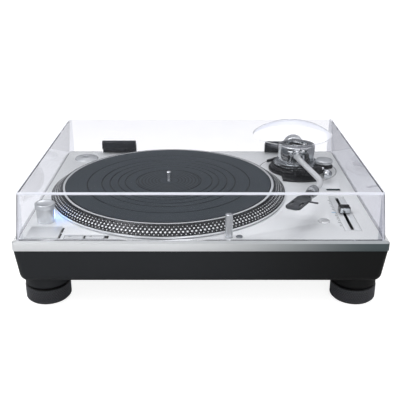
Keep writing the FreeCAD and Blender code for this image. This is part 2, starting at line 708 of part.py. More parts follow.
def cabinet():
    """The black tub with drafted walls, a round lower edge and four foot necks."""
    slope = math.tan(math.radians(CABINET_DRAFT_ANGLE))

    def section(level, inset, radius):
        reach = inset + (CABINET_TOP - level) * slope
        return rounded_wire((LEFT + reach, RIGHT - reach), (FRONT + reach, REAR - reach), level, radius)

    outer = Part.makeLoft(
        [
            section(CABINET_BOTTOM, CABINET_INSET, CABINET_CORNER),
            section(CABINET_TOP, CABINET_INSET, CABINET_TOP_CORNER),
        ],
        True,
        True,
    )
    outer = outer.makeFillet(CABINET_EDGE_ROUND, edges_at(outer, CABINET_BOTTOM))
    inset = CABINET_INSET + CABINET_WALL
    floor = CABINET_BOTTOM + CABINET_FLOOR
    wires = [
        section(floor, inset, CABINET_CORNER - CABINET_WALL),
        section(CABINET_TOP + 1, inset, CABINET_TOP_CORNER - CABINET_WALL),
    ]
    hollow = Part.makeLoft(wires, True, True)
    necks = []
    for centre in FEET.values():
        taper_low = CABINET_BOTTOM - NECK_TAPER_START
        taper_high = taper_low + NECK_TAPER_RISE
        outline = [
            (0, NECK_BOTTOM),
            (FOOT_RADIUS, NECK_BOTTOM),
            (FOOT_RADIUS, taper_low),
            (NECK_TAPER_RADIUS, taper_high),
            (0, taper_high),
        ]
        necks.append(turned(outline, centre))
    rear_inset = CABINET_INSET + (CABINET_TOP - OUTPUT_Z) * slope
    boss_y = (REAR - rear_inset - REAR_BOSS_DEPTH, REAR - rear_inset - CABINET_WALL / 2)
    output_x = (OUTPUT_X - OUTPUT_WIDTH / 2 - CABINET_WALL, OUTPUT_X + OUTPUT_WIDTH / 2 + CABINET_WALL)
    output_z = (OUTPUT_Z - OUTPUT_HEIGHT / 2 - CABINET_WALL, OUTPUT_Z + OUTPUT_HEIGHT / 2 + CABINET_WALL)
    inlet_half = INLET_WIDTH / 2 + INLET_FLANGE_SIDE + CABINET_WALL
    inlet_rise = INLET_HEIGHT / 2 + INLET_FLANGE_SIDE + CABINET_WALL
    output_boss = block(output_x, boss_y, output_z)
    inlet_boss = block(
        (INLET_X - inlet_half, INLET_X + inlet_half), boss_y, (INLET_Z - inlet_rise, INLET_Z + inlet_rise)
    )
    shell = outer.cut(hollow)
    shell = joined(shell, *necks)
    shell = joined(shell, output_boss, inlet_boss)
    cuts = [output_pocket(), inlet_pocket(), service_opening()]
    for centre in FEET.values():
        bore_top = NECK_BOTTOM + STUD_LENGTH - FOOT_GAP + STUD_BORE_SPARE
        cuts.append(disc(STUD_RADIUS + THREAD_GAP, NECK_BOTTOM - 1, bore_top, centre))
    cuts += [disc(SCREW_RADIUS, CABINET_BOTTOM, floor + 1, place) for place in service_screw_places()]
    cuts += [hinge_pocket(centre) for centre in HINGES]
    light_room = LIGHT_RADIUS + SLIDING_GAP
    light_low = DECK - LIGHT_TAIL - LIGHT_TRAVEL - 1
    cuts.append(disc(light_room, light_low, CABINET_TOP + 1, LIGHT))
    return shell.cut(cuts)


def rear_face(level):
    """How far back the cabinet's rear wall stands at a level."""
    slope = math.tan(math.radians(CABINET_DRAFT_ANGLE))
    return REAR - CABINET_INSET - (CABINET_TOP - level) * slope


def output_pocket():
    """The stepped opening for the output panel."""
    x = (OUTPUT_X - OUTPUT_WIDTH / 2, OUTPUT_X + OUTPUT_WIDTH / 2)
    z = (OUTPUT_Z - OUTPUT_HEIGHT / 2, OUTPUT_Z + OUTPUT_HEIGHT / 2)
    face = rear_face(OUTPUT_Z) - OUTPUT_SINK
    outer = block(x, (face - OUTPUT_PLATE, REAR + 1), z)
    window_x = (x[0] + CABINET_WALL / 2, x[1] - CABINET_WALL / 2)
    window_z = (z[0] + CABINET_WALL / 2, z[1] - CABINET_WALL / 2)
    window = block(window_x, (face - REAR_BOSS_DEPTH, face), window_z)
    return outer.fuse(window)


def inlet_pocket():
    """The stepped opening for the mains inlet."""
    half_x = INLET_WIDTH / 2
    half_z = INLET_HEIGHT / 2
    face = rear_face(INLET_Z) - INLET_SINK
    side = INLET_FLANGE_SIDE
    outer = block(
        (INLET_X - half_x - side, INLET_X + half_x + side),
        (face - INLET_FLANGE_THICKNESS, REAR + 1),
        (INLET_Z - half_z - side, INLET_Z + half_z + side),
    )
    window = block(
        (INLET_X - half_x, INLET_X + half_x),
        (face - REAR_BOSS_DEPTH - 1, face),
        (INLET_Z - half_z, INLET_Z + half_z),
    )
    return outer.fuse(window)


def service_opening():
    """The stepped opening in the cabinet floor under the bottom cover."""
    at = (0, SERVICE_SHIFT_Y)
    seat = CABINET_BOTTOM + SERVICE_COVER
    recess = centred(at, SERVICE_WIDTH, SERVICE_DEPTH, (CABINET_BOTTOM - 1, seat))
    width = SERVICE_WIDTH - 2 * SERVICE_LEDGE
    depth = SERVICE_DEPTH - 2 * SERVICE_LEDGE
    return joined(recess, centred(at, width, depth, (seat - 1, CABINET_BOTTOM + CABINET_FLOOR + 1)))


def bottom_cover():
    """The flat cover that closes the cabinet floor, with the posts that carry the boards."""
    gap = 2 * SLIDING_GAP
    width = SERVICE_WIDTH - gap
    depth = SERVICE_DEPTH - gap
    levels = (CABINET_BOTTOM, CABINET_BOTTOM + SERVICE_COVER)
    cover = centred((0, SERVICE_SHIFT_Y), width, depth, levels)
    posts = [
        disc(STANDOFF_RADIUS, levels[1], levels[1] + BOARD_STANDOFF, place)
        for centre, size in ((CONTROL_CENTRE, CONTROL_SIZE), (POWER_CENTRE, POWER_SIZE))
        for place in standoff_places(centre, size)
    ]
    cover = joined(cover, *posts)
    holes = [
        disc(SCREW_RADIUS + THREAD_GAP, levels[0] - 1, levels[1] + 1, place)
        for place in service_screw_places()
    ]
    return cover.cut(holes)


def standoff_places(centre, size):
    """The four corners of a board where its posts stand."""
    half_x = size[0] / 2 - STANDOFF_INSET
    half_y = size[1] / 2 - STANDOFF_INSET
    return [(centre[0] + sx * half_x, centre[1] + sy * half_y) for sx in (-1, 1) for sy in (-1, 1)]


def board(centre, size):
    """A bare circuit board on its posts."""
    low = CABINET_BOTTOM + SERVICE_COVER + BOARD_STANDOFF
    return centred(centre, size[0], size[1], (low, low + BOARD_THICKNESS)), low + BOARD_THICKNESS


def on_board(centre, size, share, footprint, z):
    """A part on a board, placed by its share of the board's half sizes."""
    at = (centre[0] + share[0] * size[0] / 2, centre[1] + share[1] * size[1] / 2)
    return centred(at, footprint[0], footprint[1], z)


def control_board():
    """The motor and control board with its chips, driver heatsink and plug headers."""
    plate, top = board(CONTROL_CENTRE, CONTROL_SIZE)
    low = top - 0.1
    parts = [
        on_board(CONTROL_CENTRE, CONTROL_SIZE, (0.1, 0.2), (16, 16), (low, top + CHIP_HEIGHT)),
        on_board(CONTROL_CENTRE, CONTROL_SIZE, (-0.35, -0.3), (10, 12), (low, top + CHIP_HEIGHT)),
        on_board(CONTROL_CENTRE, CONTROL_SIZE, (0.55, -0.35), (12, 9), (low, top + CHIP_HEIGHT)),
        on_board(CONTROL_CENTRE, CONTROL_SIZE, (0.1, 0.85), (40, 6), (low, top + HEATSINK_HEIGHT / 2)),
        on_board(CONTROL_CENTRE, CONTROL_SIZE, (0.0, -0.85), (60, 6), (low, top + HEATSINK_HEIGHT / 2)),
    ]
    return joined(plate, *parts)


def power_board():
    """The power supply board with its transformer, capacitors and heatsink."""
    plate, top = board(POWER_CENTRE, POWER_SIZE)
    low = top - 0.1
    transformer = on_board(
        POWER_CENTRE, POWER_SIZE, (0.0, 0.25), (34, 30), (low, top + TRANSFORMER_HEIGHT)
    )
    heatsink = on_board(POWER_CENTRE, POWER_SIZE, (0.0, -0.75), (44, 8), (low, top + HEATSINK_HEIGHT))
    cans = [
        disc(7, low, top + TRANSFORMER_HEIGHT, (POWER_CENTRE[0] + dx, POWER_CENTRE[1] - POWER_SIZE[1] / 5))
        for dx in (-18, 0, 18)
    ]
    return joined(plate, transformer, heatsink, *cans)


def screw(head_low, points_down, at):
    """One cap screw with a round socket in its head."""
    sign = -1 if points_down else 1
    head_end = head_low - sign * SCREW_HEAD_HEIGHT
    shank_end = head_low + sign * SCREW_LENGTH
    socket_end = head_end + sign * SCREW_SOCKET_DEPTH
    head = disc(SCREW_HEAD_RADIUS, min(head_low, head_end), max(head_low, head_end), at)
    shank = disc(SCREW_RADIUS, min(head_low, shank_end), max(head_low, shank_end), at)
    socket = disc(SCREW_SOCKET_RADIUS, min(head_end, socket_end), max(head_end, socket_end), at)
    return joined(head, shank).cut(socket)


def screws():
    """Every cap screw of the chassis."""
    deck = [screw(DECK, True, place) for place in deck_screw_places()]
    bottom = [screw(CABINET_BOTTOM, False, place) for place in service_screw_places()]
    return Part.makeCompound(deck + bottom)


# The motor

def motor_base():
    """The dished casting that closes the well and carries bearing and stator."""
    wall = WELL_RADIUS
    flange = WELL_RADIUS + MOTOR_FLANGE_WIDTH
    flange_low = SKIN_BOTTOM - MOTOR_FLANGE_THICKNESS
    outline = [
        (SLEEVE_RADIUS, BOSS_BOTTOM),
        (BEARING_BOSS_RADIUS, BOSS_BOTTOM),
        (BEARING_BOSS_RADIUS, MOTOR_FLOOR_BOTTOM),
        (wall, MOTOR_FLOOR_BOTTOM),
        (wall, flange_low),
        (flange, flange_low),
        (flange, SKIN_BOTTOM),
        (wall - MOTOR_WALL, SKIN_BOTTOM),
        (wall - MOTOR_WALL, MOTOR_FLOOR_TOP),
        (BEARING_BOSS_RADIUS, MOTOR_FLOOR_TOP),
        (BEARING_BOSS_RADIUS, BOSS_TOP),
        (SLEEVE_RADIUS, BOSS_TOP),
    ]
    holes = [disc(SCREW_RADIUS, flange_low - 1, SKIN_BOTTOM + 1, place) for place in deck_screw_places()]
    return turned(outline, SPINDLE).cut(holes)


def stator():
    """The coil board with its flat round coils."""
    board_top = MOTOR_FLOOR_TOP + STATOR_BOARD
    plate = pipe(STATOR_RADIUS, STATOR_BORE, MOTOR_FLOOR_TOP, board_top, SPINDLE)
    coils = []
    for n in range(COIL_COUNT):
        centre = polar(SPINDLE, COIL_CIRCLE, 360 / COIL_COUNT * n)
        coils.append(pipe(COIL_RADIUS, COIL_BORE, board_top, COIL_TOP, centre))
    return joined(plate, *coils)


def bearing_sleeve():
    """The spindle's sleeve, closed at the bottom."""
    bore = SPINDLE_SHAFT_RADIUS + RUNNING_FIT
    outline = [
        (0, BOSS_BOTTOM - SLEEVE_CAP),
        (SLEEVE_RADIUS, BOSS_BOTTOM - SLEEVE_CAP),
        (SLEEVE_RADIUS, BOSS_TOP),
        (bore, BOSS_TOP),
        (bore, BOSS_BOTTOM),
        (0, BOSS_BOTTOM),
    ]
    return turned(outline, SPINDLE)


def magnet_top():
    """The level of the web under the platter that the magnet is fixed to."""
    return DISC_BOTTOM - (DISC_BOTTOM - MAGNET_BOTTOM) / 2


def rotor_magnet():
    """The ring magnet under the platter."""
    return pipe(MAGNET_OUTER, MAGNET_INNER, MAGNET_BOTTOM, magnet_top(), SPINDLE)


def platter():
    """The cast platter with its sloping strobe rim, hub and magnet web."""
    hub_low = BOSS_TOP + SLIDING_GAP
    recess = MAT_RADIUS + MAT_RECESS_GAP
    outline = [
        (PLATTER_RADIUS, PLATTER_LOW),
        (PLATTER_RADIUS, PLATTER_LOW + RIM_BAND),
        (RIM_LIP_RADIUS, LIP_TOP - RIM_LIP_BEVEL),
        (RIM_LIP_RADIUS - RIM_LIP_BEVEL, LIP_TOP),
        (recess, LIP_TOP),
        (recess, MAT_FLOOR),
        (SPINDLE_SHAFT_RADIUS, MAT_FLOOR),
        (SPINDLE_SHAFT_RADIUS, hub_low),
        (HUB_RADIUS, hub_low),
        (HUB_RADIUS, DISC_BOTTOM),
        (MAGNET_INNER, DISC_BOTTOM),
        (MAGNET_INNER, magnet_top()),
        (MAGNET_OUTER, magnet_top()),
        (MAGNET_OUTER, DISC_BOTTOM),
        (recess, DISC_BOTTOM),
        (PLATTER_RADIUS - RIM_FOOT, PLATTER_LOW),
    ]
    return turned(outline, SPINDLE)


def spindle():
    """The bearing shaft that ends in the record spindle."""
    shoulder = MAT_FLOOR
    tip = MAT_TOP + RECORD_SPINDLE_HEIGHT
    outline = [
        (0, BOSS_BOTTOM + SLIDING_GAP),
        (SPINDLE_SHAFT_RADIUS, BOSS_BOTTOM + SLIDING_GAP),
        (SPINDLE_SHAFT_RADIUS, shoulder),
        (RECORD_SPINDLE_RADIUS, shoulder),
        (RECORD_SPINDLE_RADIUS, tip),
        (SPINDLE_NOSE_RADIUS, tip + SPINDLE_NOSE_HEIGHT),
        (0, tip + SPINDLE_NOSE_HEIGHT),
    ]
    return turned(outline, SPINDLE)


def rubber_mat():
    """The mat with its main ring grooves."""
    outline = [(MAT_HOLE_RADIUS, MAT_FLOOR), (MAT_RADIUS, MAT_FLOOR), (MAT_RADIUS, MAT_TOP)]
    for radius in MAT_GROOVE_RADII:
        outline += [
            (radius + MAT_GROOVE_HALF_WIDTH, MAT_TOP),
            (radius + MAT_GROOVE_HALF_WIDTH / 2, MAT_TOP - MAT_GROOVE_DEPTH),
            (radius - MAT_GROOVE_HALF_WIDTH / 2, MAT_TOP - MAT_GROOVE_DEPTH),
            (radius - MAT_GROOVE_HALF_WIDTH, MAT_TOP),
        ]
    outline.append((MAT_HOLE_RADIUS, MAT_TOP))
    return turned(outline, SPINDLE)


# The dust cover and its hinges

def cover_section(level, wall, radius):
    """The dust cover's outline at a level, inset by a wall."""
    share = (level - DECK - COVER_GAP) / COVER_HEIGHT
    side = COVER_SIDE_INSET + COVER_SIDE_DRAFT * share + wall
    front = COVER_FRONT_INSET + COVER_END_DRAFT * share + wall
    rear = COVER_REAR_INSET + COVER_END_DRAFT * share + wall
    return rounded_wire((LEFT + side, RIGHT - side), (FRONT + front, REAR - rear), level, radius)


def cover_dome(wall):
    """The ball-shaped room of the dome over the arm, inset by a wall."""
    top = DECK + COVER_GAP + COVER_HEIGHT
    ball = (DOME_RADIUS**2 + DOME_RISE**2) / (2 * DOME_RISE)
    x = PIVOT[0] - DOME_LEFT_OF_PIVOT
    y = PIVOT[1] - DOME_BEFORE_PIVOT
    sphere = Part.makeSphere(ball - wall, Vector(x, y, top + DOME_RISE - ball))
    reach = (-DOME_RADIUS - 1, DOME_RADIUS + 1)
    region = block(reach, reach, (top - wall - 0.5, top + DOME_RISE + 1))
    region.translate(Vector(x, y, 0))
    return sphere.common(region)


def dust_cover():
    """The clear cover: a drafted open box with soft edges, a dome and hinge notches."""
    low = DECK + COVER_GAP
    high = low + COVER_HEIGHT
    outer_wires = [cover_section(low, 0, COVER_CORNER), cover_section(high, 0, COVER_CORNER)]
    outer = Part.makeLoft(outer_wires, True, True)
    outer = outer.makeFillet(COVER_EDGE_ROUND, edges_at(outer, high))
    outer = joined(outer, cover_dome(0))
    rim = [e for e in edges_at(outer, high) if isinstance(e.Curve, Part.Circle) and e.Curve.Radius > DOME_RADIUS - 1]
    outer = outer.makeFillet(DOME_ROUND, rim)
    inner_corner = COVER_CORNER - COVER_WALL
    inner_wires = [
        cover_section(low - 1, COVER_WALL, inner_corner),
        cover_section(high - COVER_WALL, COVER_WALL, inner_corner),
    ]
    cover = outer.cut([Part.makeLoft(inner_wires, True, True), cover_dome(COVER_WALL)])
    half = HINGE_WIDTH / 2 + HINGE_NOTCH_SIDE
    notch_z = (low - 1, DECK + HINGE_AXIS_HEIGHT + HINGE_NOTCH_RISE)
    notch_y = (REAR - COVER_REAR_INSET - COVER_WALL - COVER_END_DRAFT, REAR)
    notches = [block((centre - half, centre + half), notch_y, notch_z) for centre in HINGES]
    return cover.cut(notches)


HINGE_Y = REAR - HINGE_AXIS_FROM_REAR
HINGE_Z = DECK + HINGE_AXIS_HEIGHT


def knuckle(x, radius):
    """A round bar along the hinge axis."""
    return bar(radius, Vector(x[0], HINGE_Y, HINGE_Z), Vector(x[1], HINGE_Y, HINGE_Z))


def hinge_sockets():
    """The fixed hinge blocks at the back edge, each with two outer knuckles."""
    sockets = []
    for centre in HINGES:
        low = centre - HINGE_WIDTH / 2
        high = centre + HINGE_WIDTH / 2
        inner = KNUCKLE_WIDTH / 2 + SLIDING_GAP
        back = REAR - 0.1
        front = REAR - HINGE_SOCKET_THICKNESS
        base = block((low, high), (front, back), (DECK - HINGE_SOCKET_DROP, HINGE_Z - KNUCKLE_RADIUS - 1))
        pieces = []
        for x in ((low, centre - inner), (centre + inner, high)):
            pieces.append(block(x, (HINGE_Y - 1, back), (DECK, HINGE_Z)))
            pieces.append(knuckle(x, KNUCKLE_RADIUS))
        socket = joined(base, *pieces)
        sockets.append(socket.cut(knuckle((low - 1, high + 1), HINGE_PIN_RADIUS)))
    return Part.makeCompound(sockets)


def hinge_pins():
    """The two hinge pins."""
    half = HINGE_WIDTH / 2
    return Part.makeCompound([knuckle((c - half, c + half), HINGE_PIN_RADIUS) for c in HINGES])


def hinge_arms():
    """The brackets on the dust cover, each with the middle knuckle."""
    arms = []
    half = HINGE_WIDTH / 2
    low = DECK + HINGE_BLOCK_RISE
    top = low + HINGE_BLOCK_HEIGHT
    back = HINGE_Y - KNUCKLE_RADIUS - SLIDING_GAP
    y = (back - HINGE_BLOCK_THICKNESS, back)
    rise = (top - DECK - COVER_GAP) / COVER_HEIGHT
    wall_face = REAR - COVER_REAR_INSET - COVER_WALL - COVER_END_DRAFT * rise
    pad_low = DECK + HINGE_AXIS_HEIGHT + HINGE_NOTCH_RISE + SLIDING_GAP
    for centre in HINGES:
        span = (centre - half, centre + half)
        body = chamfered_block(span, y, (low, top), HINGE_BLOCK_CHAMFER)
        pad = block(span, (back - 1, wall_face), (pad_low, top))
        x = (centre - KNUCKLE_WIDTH / 2, centre + KNUCKLE_WIDTH / 2)
        web = block(x, (y[0] + 1, HINGE_Y), (HINGE_Z - KNUCKLE_RADIUS + 1, HINGE_Z + KNUCKLE_RADIUS - 1))
        arm = joined(body, pad, web, knuckle(x, KNUCKLE_RADIUS))
        bore = knuckle((x[0] - 1, x[1] + 1), HINGE_PIN_RADIUS + RUNNING_FIT)
        arms.append(arm.cut(bore))
    return Part.makeCompound(arms)


def chamfered_block(x, y, z, chamfer):
    """A block with chamfers round its front face."""
    solid = block(x, y, z)
    edges = [e for e in solid.Edges if all(abs(v.Y - y[0]) < 0.001 for v in e.Vertexes)]
    return solid.makeChamfer(chamfer, edges)


# The rear sockets

def output_panel():
    """The plate at the back that holds the output sockets."""
    x = (OUTPUT_X - OUTPUT_WIDTH / 2, OUTPUT_X + OUTPUT_WIDTH / 2)
    z = (OUTPUT_Z - OUTPUT_HEIGHT / 2, OUTPUT_Z + OUTPUT_HEIGHT / 2)
    face = rear_face(OUTPUT_Z) - OUTPUT_SINK
    plate = block(x, (face - OUTPUT_PLATE, face), z)
    holes = [
        bar(JACK_TAIL_RADIUS, Vector(jack_x, face - OUTPUT_PLATE - 1, OUTPUT_Z), Vector(jack_x, face + 1, OUTPUT_Z))
        for jack_x in jack_places()
    ]
    ground_x = OUTPUT_X + GROUND_SHIFT
    holes.append(
        bar(
            GROUND_STUD_RADIUS,
            Vector(ground_x, face - OUTPUT_PLATE - 1, OUTPUT_Z),
            Vector(ground_x, face + 1, OUTPUT_Z),
        )
    )
    return plate.cut(holes)


def jack_places():
    """Where the two output sockets stand along X."""
    middle = OUTPUT_X + JACK_SHIFT
    return (middle - JACK_PITCH / 2, middle + JACK_PITCH / 2)


def output_jacks():
    """The two phono sockets, each a barrel with a blind bore."""
    face = rear_face(OUTPUT_Z) - OUTPUT_SINK
    jacks = []
    for jack_x in jack_places():
        back = Vector(jack_x, face + JACK_LENGTH, OUTPUT_Z)
        front = Vector(jack_x, face, OUTPUT_Z)
        tail = bar(JACK_TAIL_RADIUS, Vector(jack_x, face - JACK_TAIL, OUTPUT_Z), front)
        barrel = joined(bar(JACK_RADIUS, front, back), tail)
        bore = bar(JACK_BORE_RADIUS, Vector(jack_x, face + JACK_LENGTH - JACK_BORE_DEPTH, OUTPUT_Z), back)
        jacks.append(barrel.cut(bore))
    return Part.makeCompound(jacks)


def ground_terminal():
    """The earth terminal: a stud with a round nut."""
    face = rear_face(OUTPUT_Z) - OUTPUT_SINK
    ground_x = OUTPUT_X + GROUND_SHIFT
    stud = bar(
        GROUND_STUD_RADIUS, Vector(ground_x, face - JACK_TAIL, OUTPUT_Z), Vector(ground_x, face, OUTPUT_Z)
    )
    nut = bar(
        GROUND_RADIUS, Vector(ground_x, face, OUTPUT_Z), Vector(ground_x, face + GROUND_LENGTH, OUTPUT_Z)
    )
    return joined(stud, nut)


def mains_inlet():
    """The mains socket with its flange, hollow and three flat pins."""
    half_x = INLET_WIDTH / 2
    half_z = INLET_HEIGHT / 2
    face = rear_face(INLET_Z) - INLET_SINK
    side = INLET_FLANGE_SIDE
    flange = block(
        (INLET_X - half_x - side, INLET_X + half_x + side),
        (face - INLET_FLANGE_THICKNESS, face),
        (INLET_Z - half_z - side, INLET_Z + half_z + side),
    )
    body = block(
        (INLET_X - half_x, INLET_X + half_x), (face - INLET_DEPTH, face), (INLET_Z - half_z, INLET_Z + half_z)
    )
    wall = INLET_SOCKET_WALL
    hollow = block(
        (INLET_X - half_x + wall, INLET_X + half_x - wall),
        (face - INLET_SOCKET_DEPTH, face + 1),
        (INLET_Z - half_z + wall, INLET_Z + half_z - wall),
    )
    shell = joined(flange, body).cut(hollow)
    pins = []
    for step, rise in ((-1, -1.5), (0, 1.5), (1, -1.5)):
        x = INLET_X + step * INLET_PIN_PITCH
        z = INLET_Z + rise
        half = INLET_PIN_SIZE / 2
        y = (face - INLET_SOCKET_DEPTH - 1, face - INLET_SOCKET_DEPTH + INLET_PIN_LENGTH)
        pins.append(block((x - half, x + half), y, (z - INLET_PIN_SIZE, z + INLET_PIN_SIZE)))
    return joined(shell, *pins)


# The controls

def push_button(at, width, depth, proud):
    """A rectangular button with a stem under its cap."""
    top = DECK + proud
    low = top - BUTTON_CAP_DEPTH
    cap = rounded_centred(at, width, depth, (low, top), BUTTON_CORNER)
    stem = disc(BUTTON_STEM_RADIUS, low - BUTTON_STEM_LENGTH, low + 1, at)
    return joined(cap, stem)


def round_button(at, radius, proud, chamfer):
    """A round button with a stem under its cap."""
    top = DECK + proud
    low = top - BUTTON_CAP_DEPTH
    cap = knob(radius, low, top, chamfer, at)
    stem = disc(BUTTON_STEM_RADIUS, low - BUTTON_STEM_LENGTH, low + 1, at)
    return joined(cap, stem)


def window_block(depth_low, depth_high):
    """A block through the tower's wall on the side that faces the spindle."""
    bearing = math.degrees(math.atan2(SPINDLE[1] - TOWER[1], SPINDLE[0] - TOWER[0]))
    low = DECK + WINDOW_RISE
    y = (-WINDOW_WIDTH / 2, WINDOW_WIDTH / 2)
    solid = block((depth_low, depth_high), y, (low, low + WINDOW_HEIGHT))
    solid.Placement = Placement(Vector(TOWER[0], TOWER[1], 0), Rotation(Vector(0, 0, 1), bearing))
    return solid


def strobe_tower():
    """The lamp tower with its window opening and the bore for the power knob."""
    body = disc(TOWER_RADIUS, DECK, DECK + TOWER_HEIGHT, TOWER)
    spigot = disc(TOWER_SPIGOT_RADIUS, DECK - TOWER_SPIGOT_LENGTH, DECK + 1, TOWER)
    bore_low = DECK + TOWER_HEIGHT - POWER_STEM_LENGTH
    bore = disc(POWER_STEM_RADIUS + RUNNING_FIT, bore_low, DECK + TOWER_HEIGHT + 1, TOWER)
    opening = window_block(TOWER_RADIUS - WINDOW_DEPTH, TOWER_RADIUS + 1)
    return joined(body, spigot).cut([bore, opening])


def strobe_window():
    """The lens that fills the tower's window."""
    bar_of_glass = window_block(TOWER_RADIUS - WINDOW_DEPTH, TOWER_RADIUS + 1)
    return bar_of_glass.common(disc(TOWER_RADIUS, DECK, DECK + TOWER_HEIGHT, TOWER))


def power_knob():
    """The dished cap on the tower that turns to switch the power."""
    low = DECK + TOWER_HEIGHT + SLIDING_GAP
    top = low + POWER_KNOB_HEIGHT
    stem_low = low - POWER_STEM_LENGTH + SLIDING_GAP
    dish = POWER_KNOB_DISH
    outline = [
        (0, stem_low),
        (POWER_STEM_RADIUS, stem_low),
        (POWER_STEM_RADIUS, low),
        (POWER_KNOB_RADIUS - dish / 2, low),
        (POWER_KNOB_RADIUS, low + dish / 2),
        (POWER_KNOB_RADIUS, top - dish / 2),
        (POWER_KNOB_RADIUS - dish / 2, top),
        (POWER_KNOB_RADIUS - 2 * dish, top),
        (POWER_KNOB_RADIUS - 4 * dish, top - dish),
        (0, top - dish),
    ]
    return turned(outline, TOWER)


def target_light():
    """The pop-up lamp post, raised."""
    low = DECK - LIGHT_TAIL
    top = DECK + LIGHT_HEIGHT
    return knob(LIGHT_RADIUS, low, top, 0.8, LIGHT)


def pitch_panel():
    """The inlaid plate with the slider's slot."""
    top = DECK - PITCH_PANEL_SINK
    levels = (top - PITCH_PANEL_THICKNESS, top)
    panel = centred(FADER, PITCH_PANEL_WIDTH, PITCH_PANEL_LENGTH, levels)
    slot_levels = (levels[0] - 1, levels[1] + 1)
    slot = rounded_centred(FADER, FADER_SLOT_WIDTH, FADER_SLOT_LENGTH, slot_levels, FADER_SLOT_WIDTH / 3)
    return panel.cut(slot)


def fader_body():
    """The slide potentiometer's case under the deck."""
    levels = (SKIN_BOTTOM - FADER_BODY_HEIGHT, SKIN_BOTTOM)
    case = centred(FADER, FADER_BODY_WIDTH, FADER_BODY_LENGTH, levels)
    channel_levels = (levels[0] + FADER_BODY_FLOOR, levels[1] + 1)
    channel = centred(FADER, FADER_SLOT_WIDTH, FADER_SLOT_LENGTH, channel_levels)
    return case.cut(channel)


def pitch_knob():
    """The slider's saddle-shaped knob on its stem."""
    low = DECK - PITCH_PANEL_SINK + PITCH_KNOB_RISE
    high = low + PITCH_KNOB_HEIGHT
    half = PITCH_KNOB_DEPTH / 2
    dip = PITCH_KNOB_DIP
    profile = [
        (-half, low),
        (half, low),
        (half, high - dip),
        (half - dip, high),
        (dip, high - dip),
        (-dip, high - dip),
        (dip - half, high),
        (-half, high - dip),
    ]
    x = FADER[0] - PITCH_KNOB_WIDTH / 2
    points = [Vector(x, FADER[1] + y, z) for y, z in profile]
    cap = Part.Face(Part.makePolygon(points + points[:1])).extrude(Vector(PITCH_KNOB_WIDTH, 0, 0))
    stem_width = FADER_SLOT_WIDTH - 2 * SLIDING_GAP
    stem_low = SKIN_BOTTOM - FADER_BODY_HEIGHT + FADER_BODY_FLOOR + SLIDING_GAP
    stem = centred(FADER, stem_width, PITCH_STEM_DEPTH, (stem_low, low + 1))
    return joined(cap, stem)


def record_adapter():
    """The 45 rpm adapter in its recess: a low cone with a spindle hole."""
    low = DECK - ADAPTER_SINK
    top = low + ADAPTER_HEIGHT
    bore = RECORD_SPINDLE_RADIUS + THREAD_GAP
    outline = [
        (bore, low),
        (ADAPTER_RADIUS, low),
        (ADAPTER_RADIUS, low + ADAPTER_HEIGHT / 2),
        (ADAPTER_RADIUS - 1, low + ADAPTER_HEIGHT / 2 + 1),
        (ADAPTER_CONE_RADIUS, top),
        (bore, top),
    ]
    return turned(outline, ADAPTER)


# The arm base

def arm_flange():
    """The black flange on the deck, with its front lobe and the lock's tongue."""
    body = knob(FLANGE_RADIUS, DECK, FLANGE_TOP, FLANGE_CHAMFER, PIVOT)
    half = FLANGE_LOBE_WIDTH / 2
    lobe_top = FLANGE_TOP - FLANGE_CHAMFER
    x = (PIVOT[0] - half, PIVOT[0] + half)
    y = (PIVOT[1] - FLANGE_LOBE_RADIUS - 1, PIVOT[1])
    lobe = disc(FLANGE_LOBE_RADIUS, DECK, lobe_top, PIVOT).common(block(x, y, (DECK, lobe_top)))
    tongue = disc(LOCK_TONGUE_RADIUS, DECK, lobe_top, LOCK)
    bore = disc(PILLAR_COLUMN_RADIUS + RUNNING_FIT, DECK - 1, FLANGE_TOP + 1, PIVOT)
    pin_hole = disc(LOCK_PIN_RADIUS + RUNNING_FIT, DECK - 1, FLANGE_TOP + 1, LOCK)
    return joined(body, lobe, tongue).cut([bore, pin_hole])


def arm_lock_lever():
    """The small lever that locks the arm height."""
    low = FLANGE_TOP + SLIDING_GAP
    high = low + LOCK_LEVER_HEIGHT
    pin = disc(LOCK_PIN_RADIUS, DECK + SLIDING_GAP, low + 1, LOCK)
    tip = polar(LOCK, LOCK_LEVER_LENGTH, LOCK_LEVER_BEARING)
    hub = disc(LOCK_HUB_RADIUS, low, high, LOCK)
    end = disc(LOCK_LEVER_WIDTH / 2, low, high, tip)
    return joined(hub, pin, end, link(LOCK, tip, LOCK_LEVER_WIDTH, (low, high)))


def height_ring():
    """The ring that turns to raise the arm base."""
    outer = FLANGE_RADIUS - HEIGHT_RING_STEP
    bore = PILLAR_COLUMN_RADIUS + RUNNING_FIT
    low = HEIGHT_RING_BOTTOM
    top = HEIGHT_RING_TOP
    outline = [
        (bore, low),
        (outer - FLANGE_CHAMFER, low),
        (outer, low + FLANGE_CHAMFER),
        (outer, top - HEIGHT_RING_BEVEL),
        (outer - HEIGHT_RING_BEVEL, top),
        (bore, top),
    ]
    return turned(outline, PIVOT)


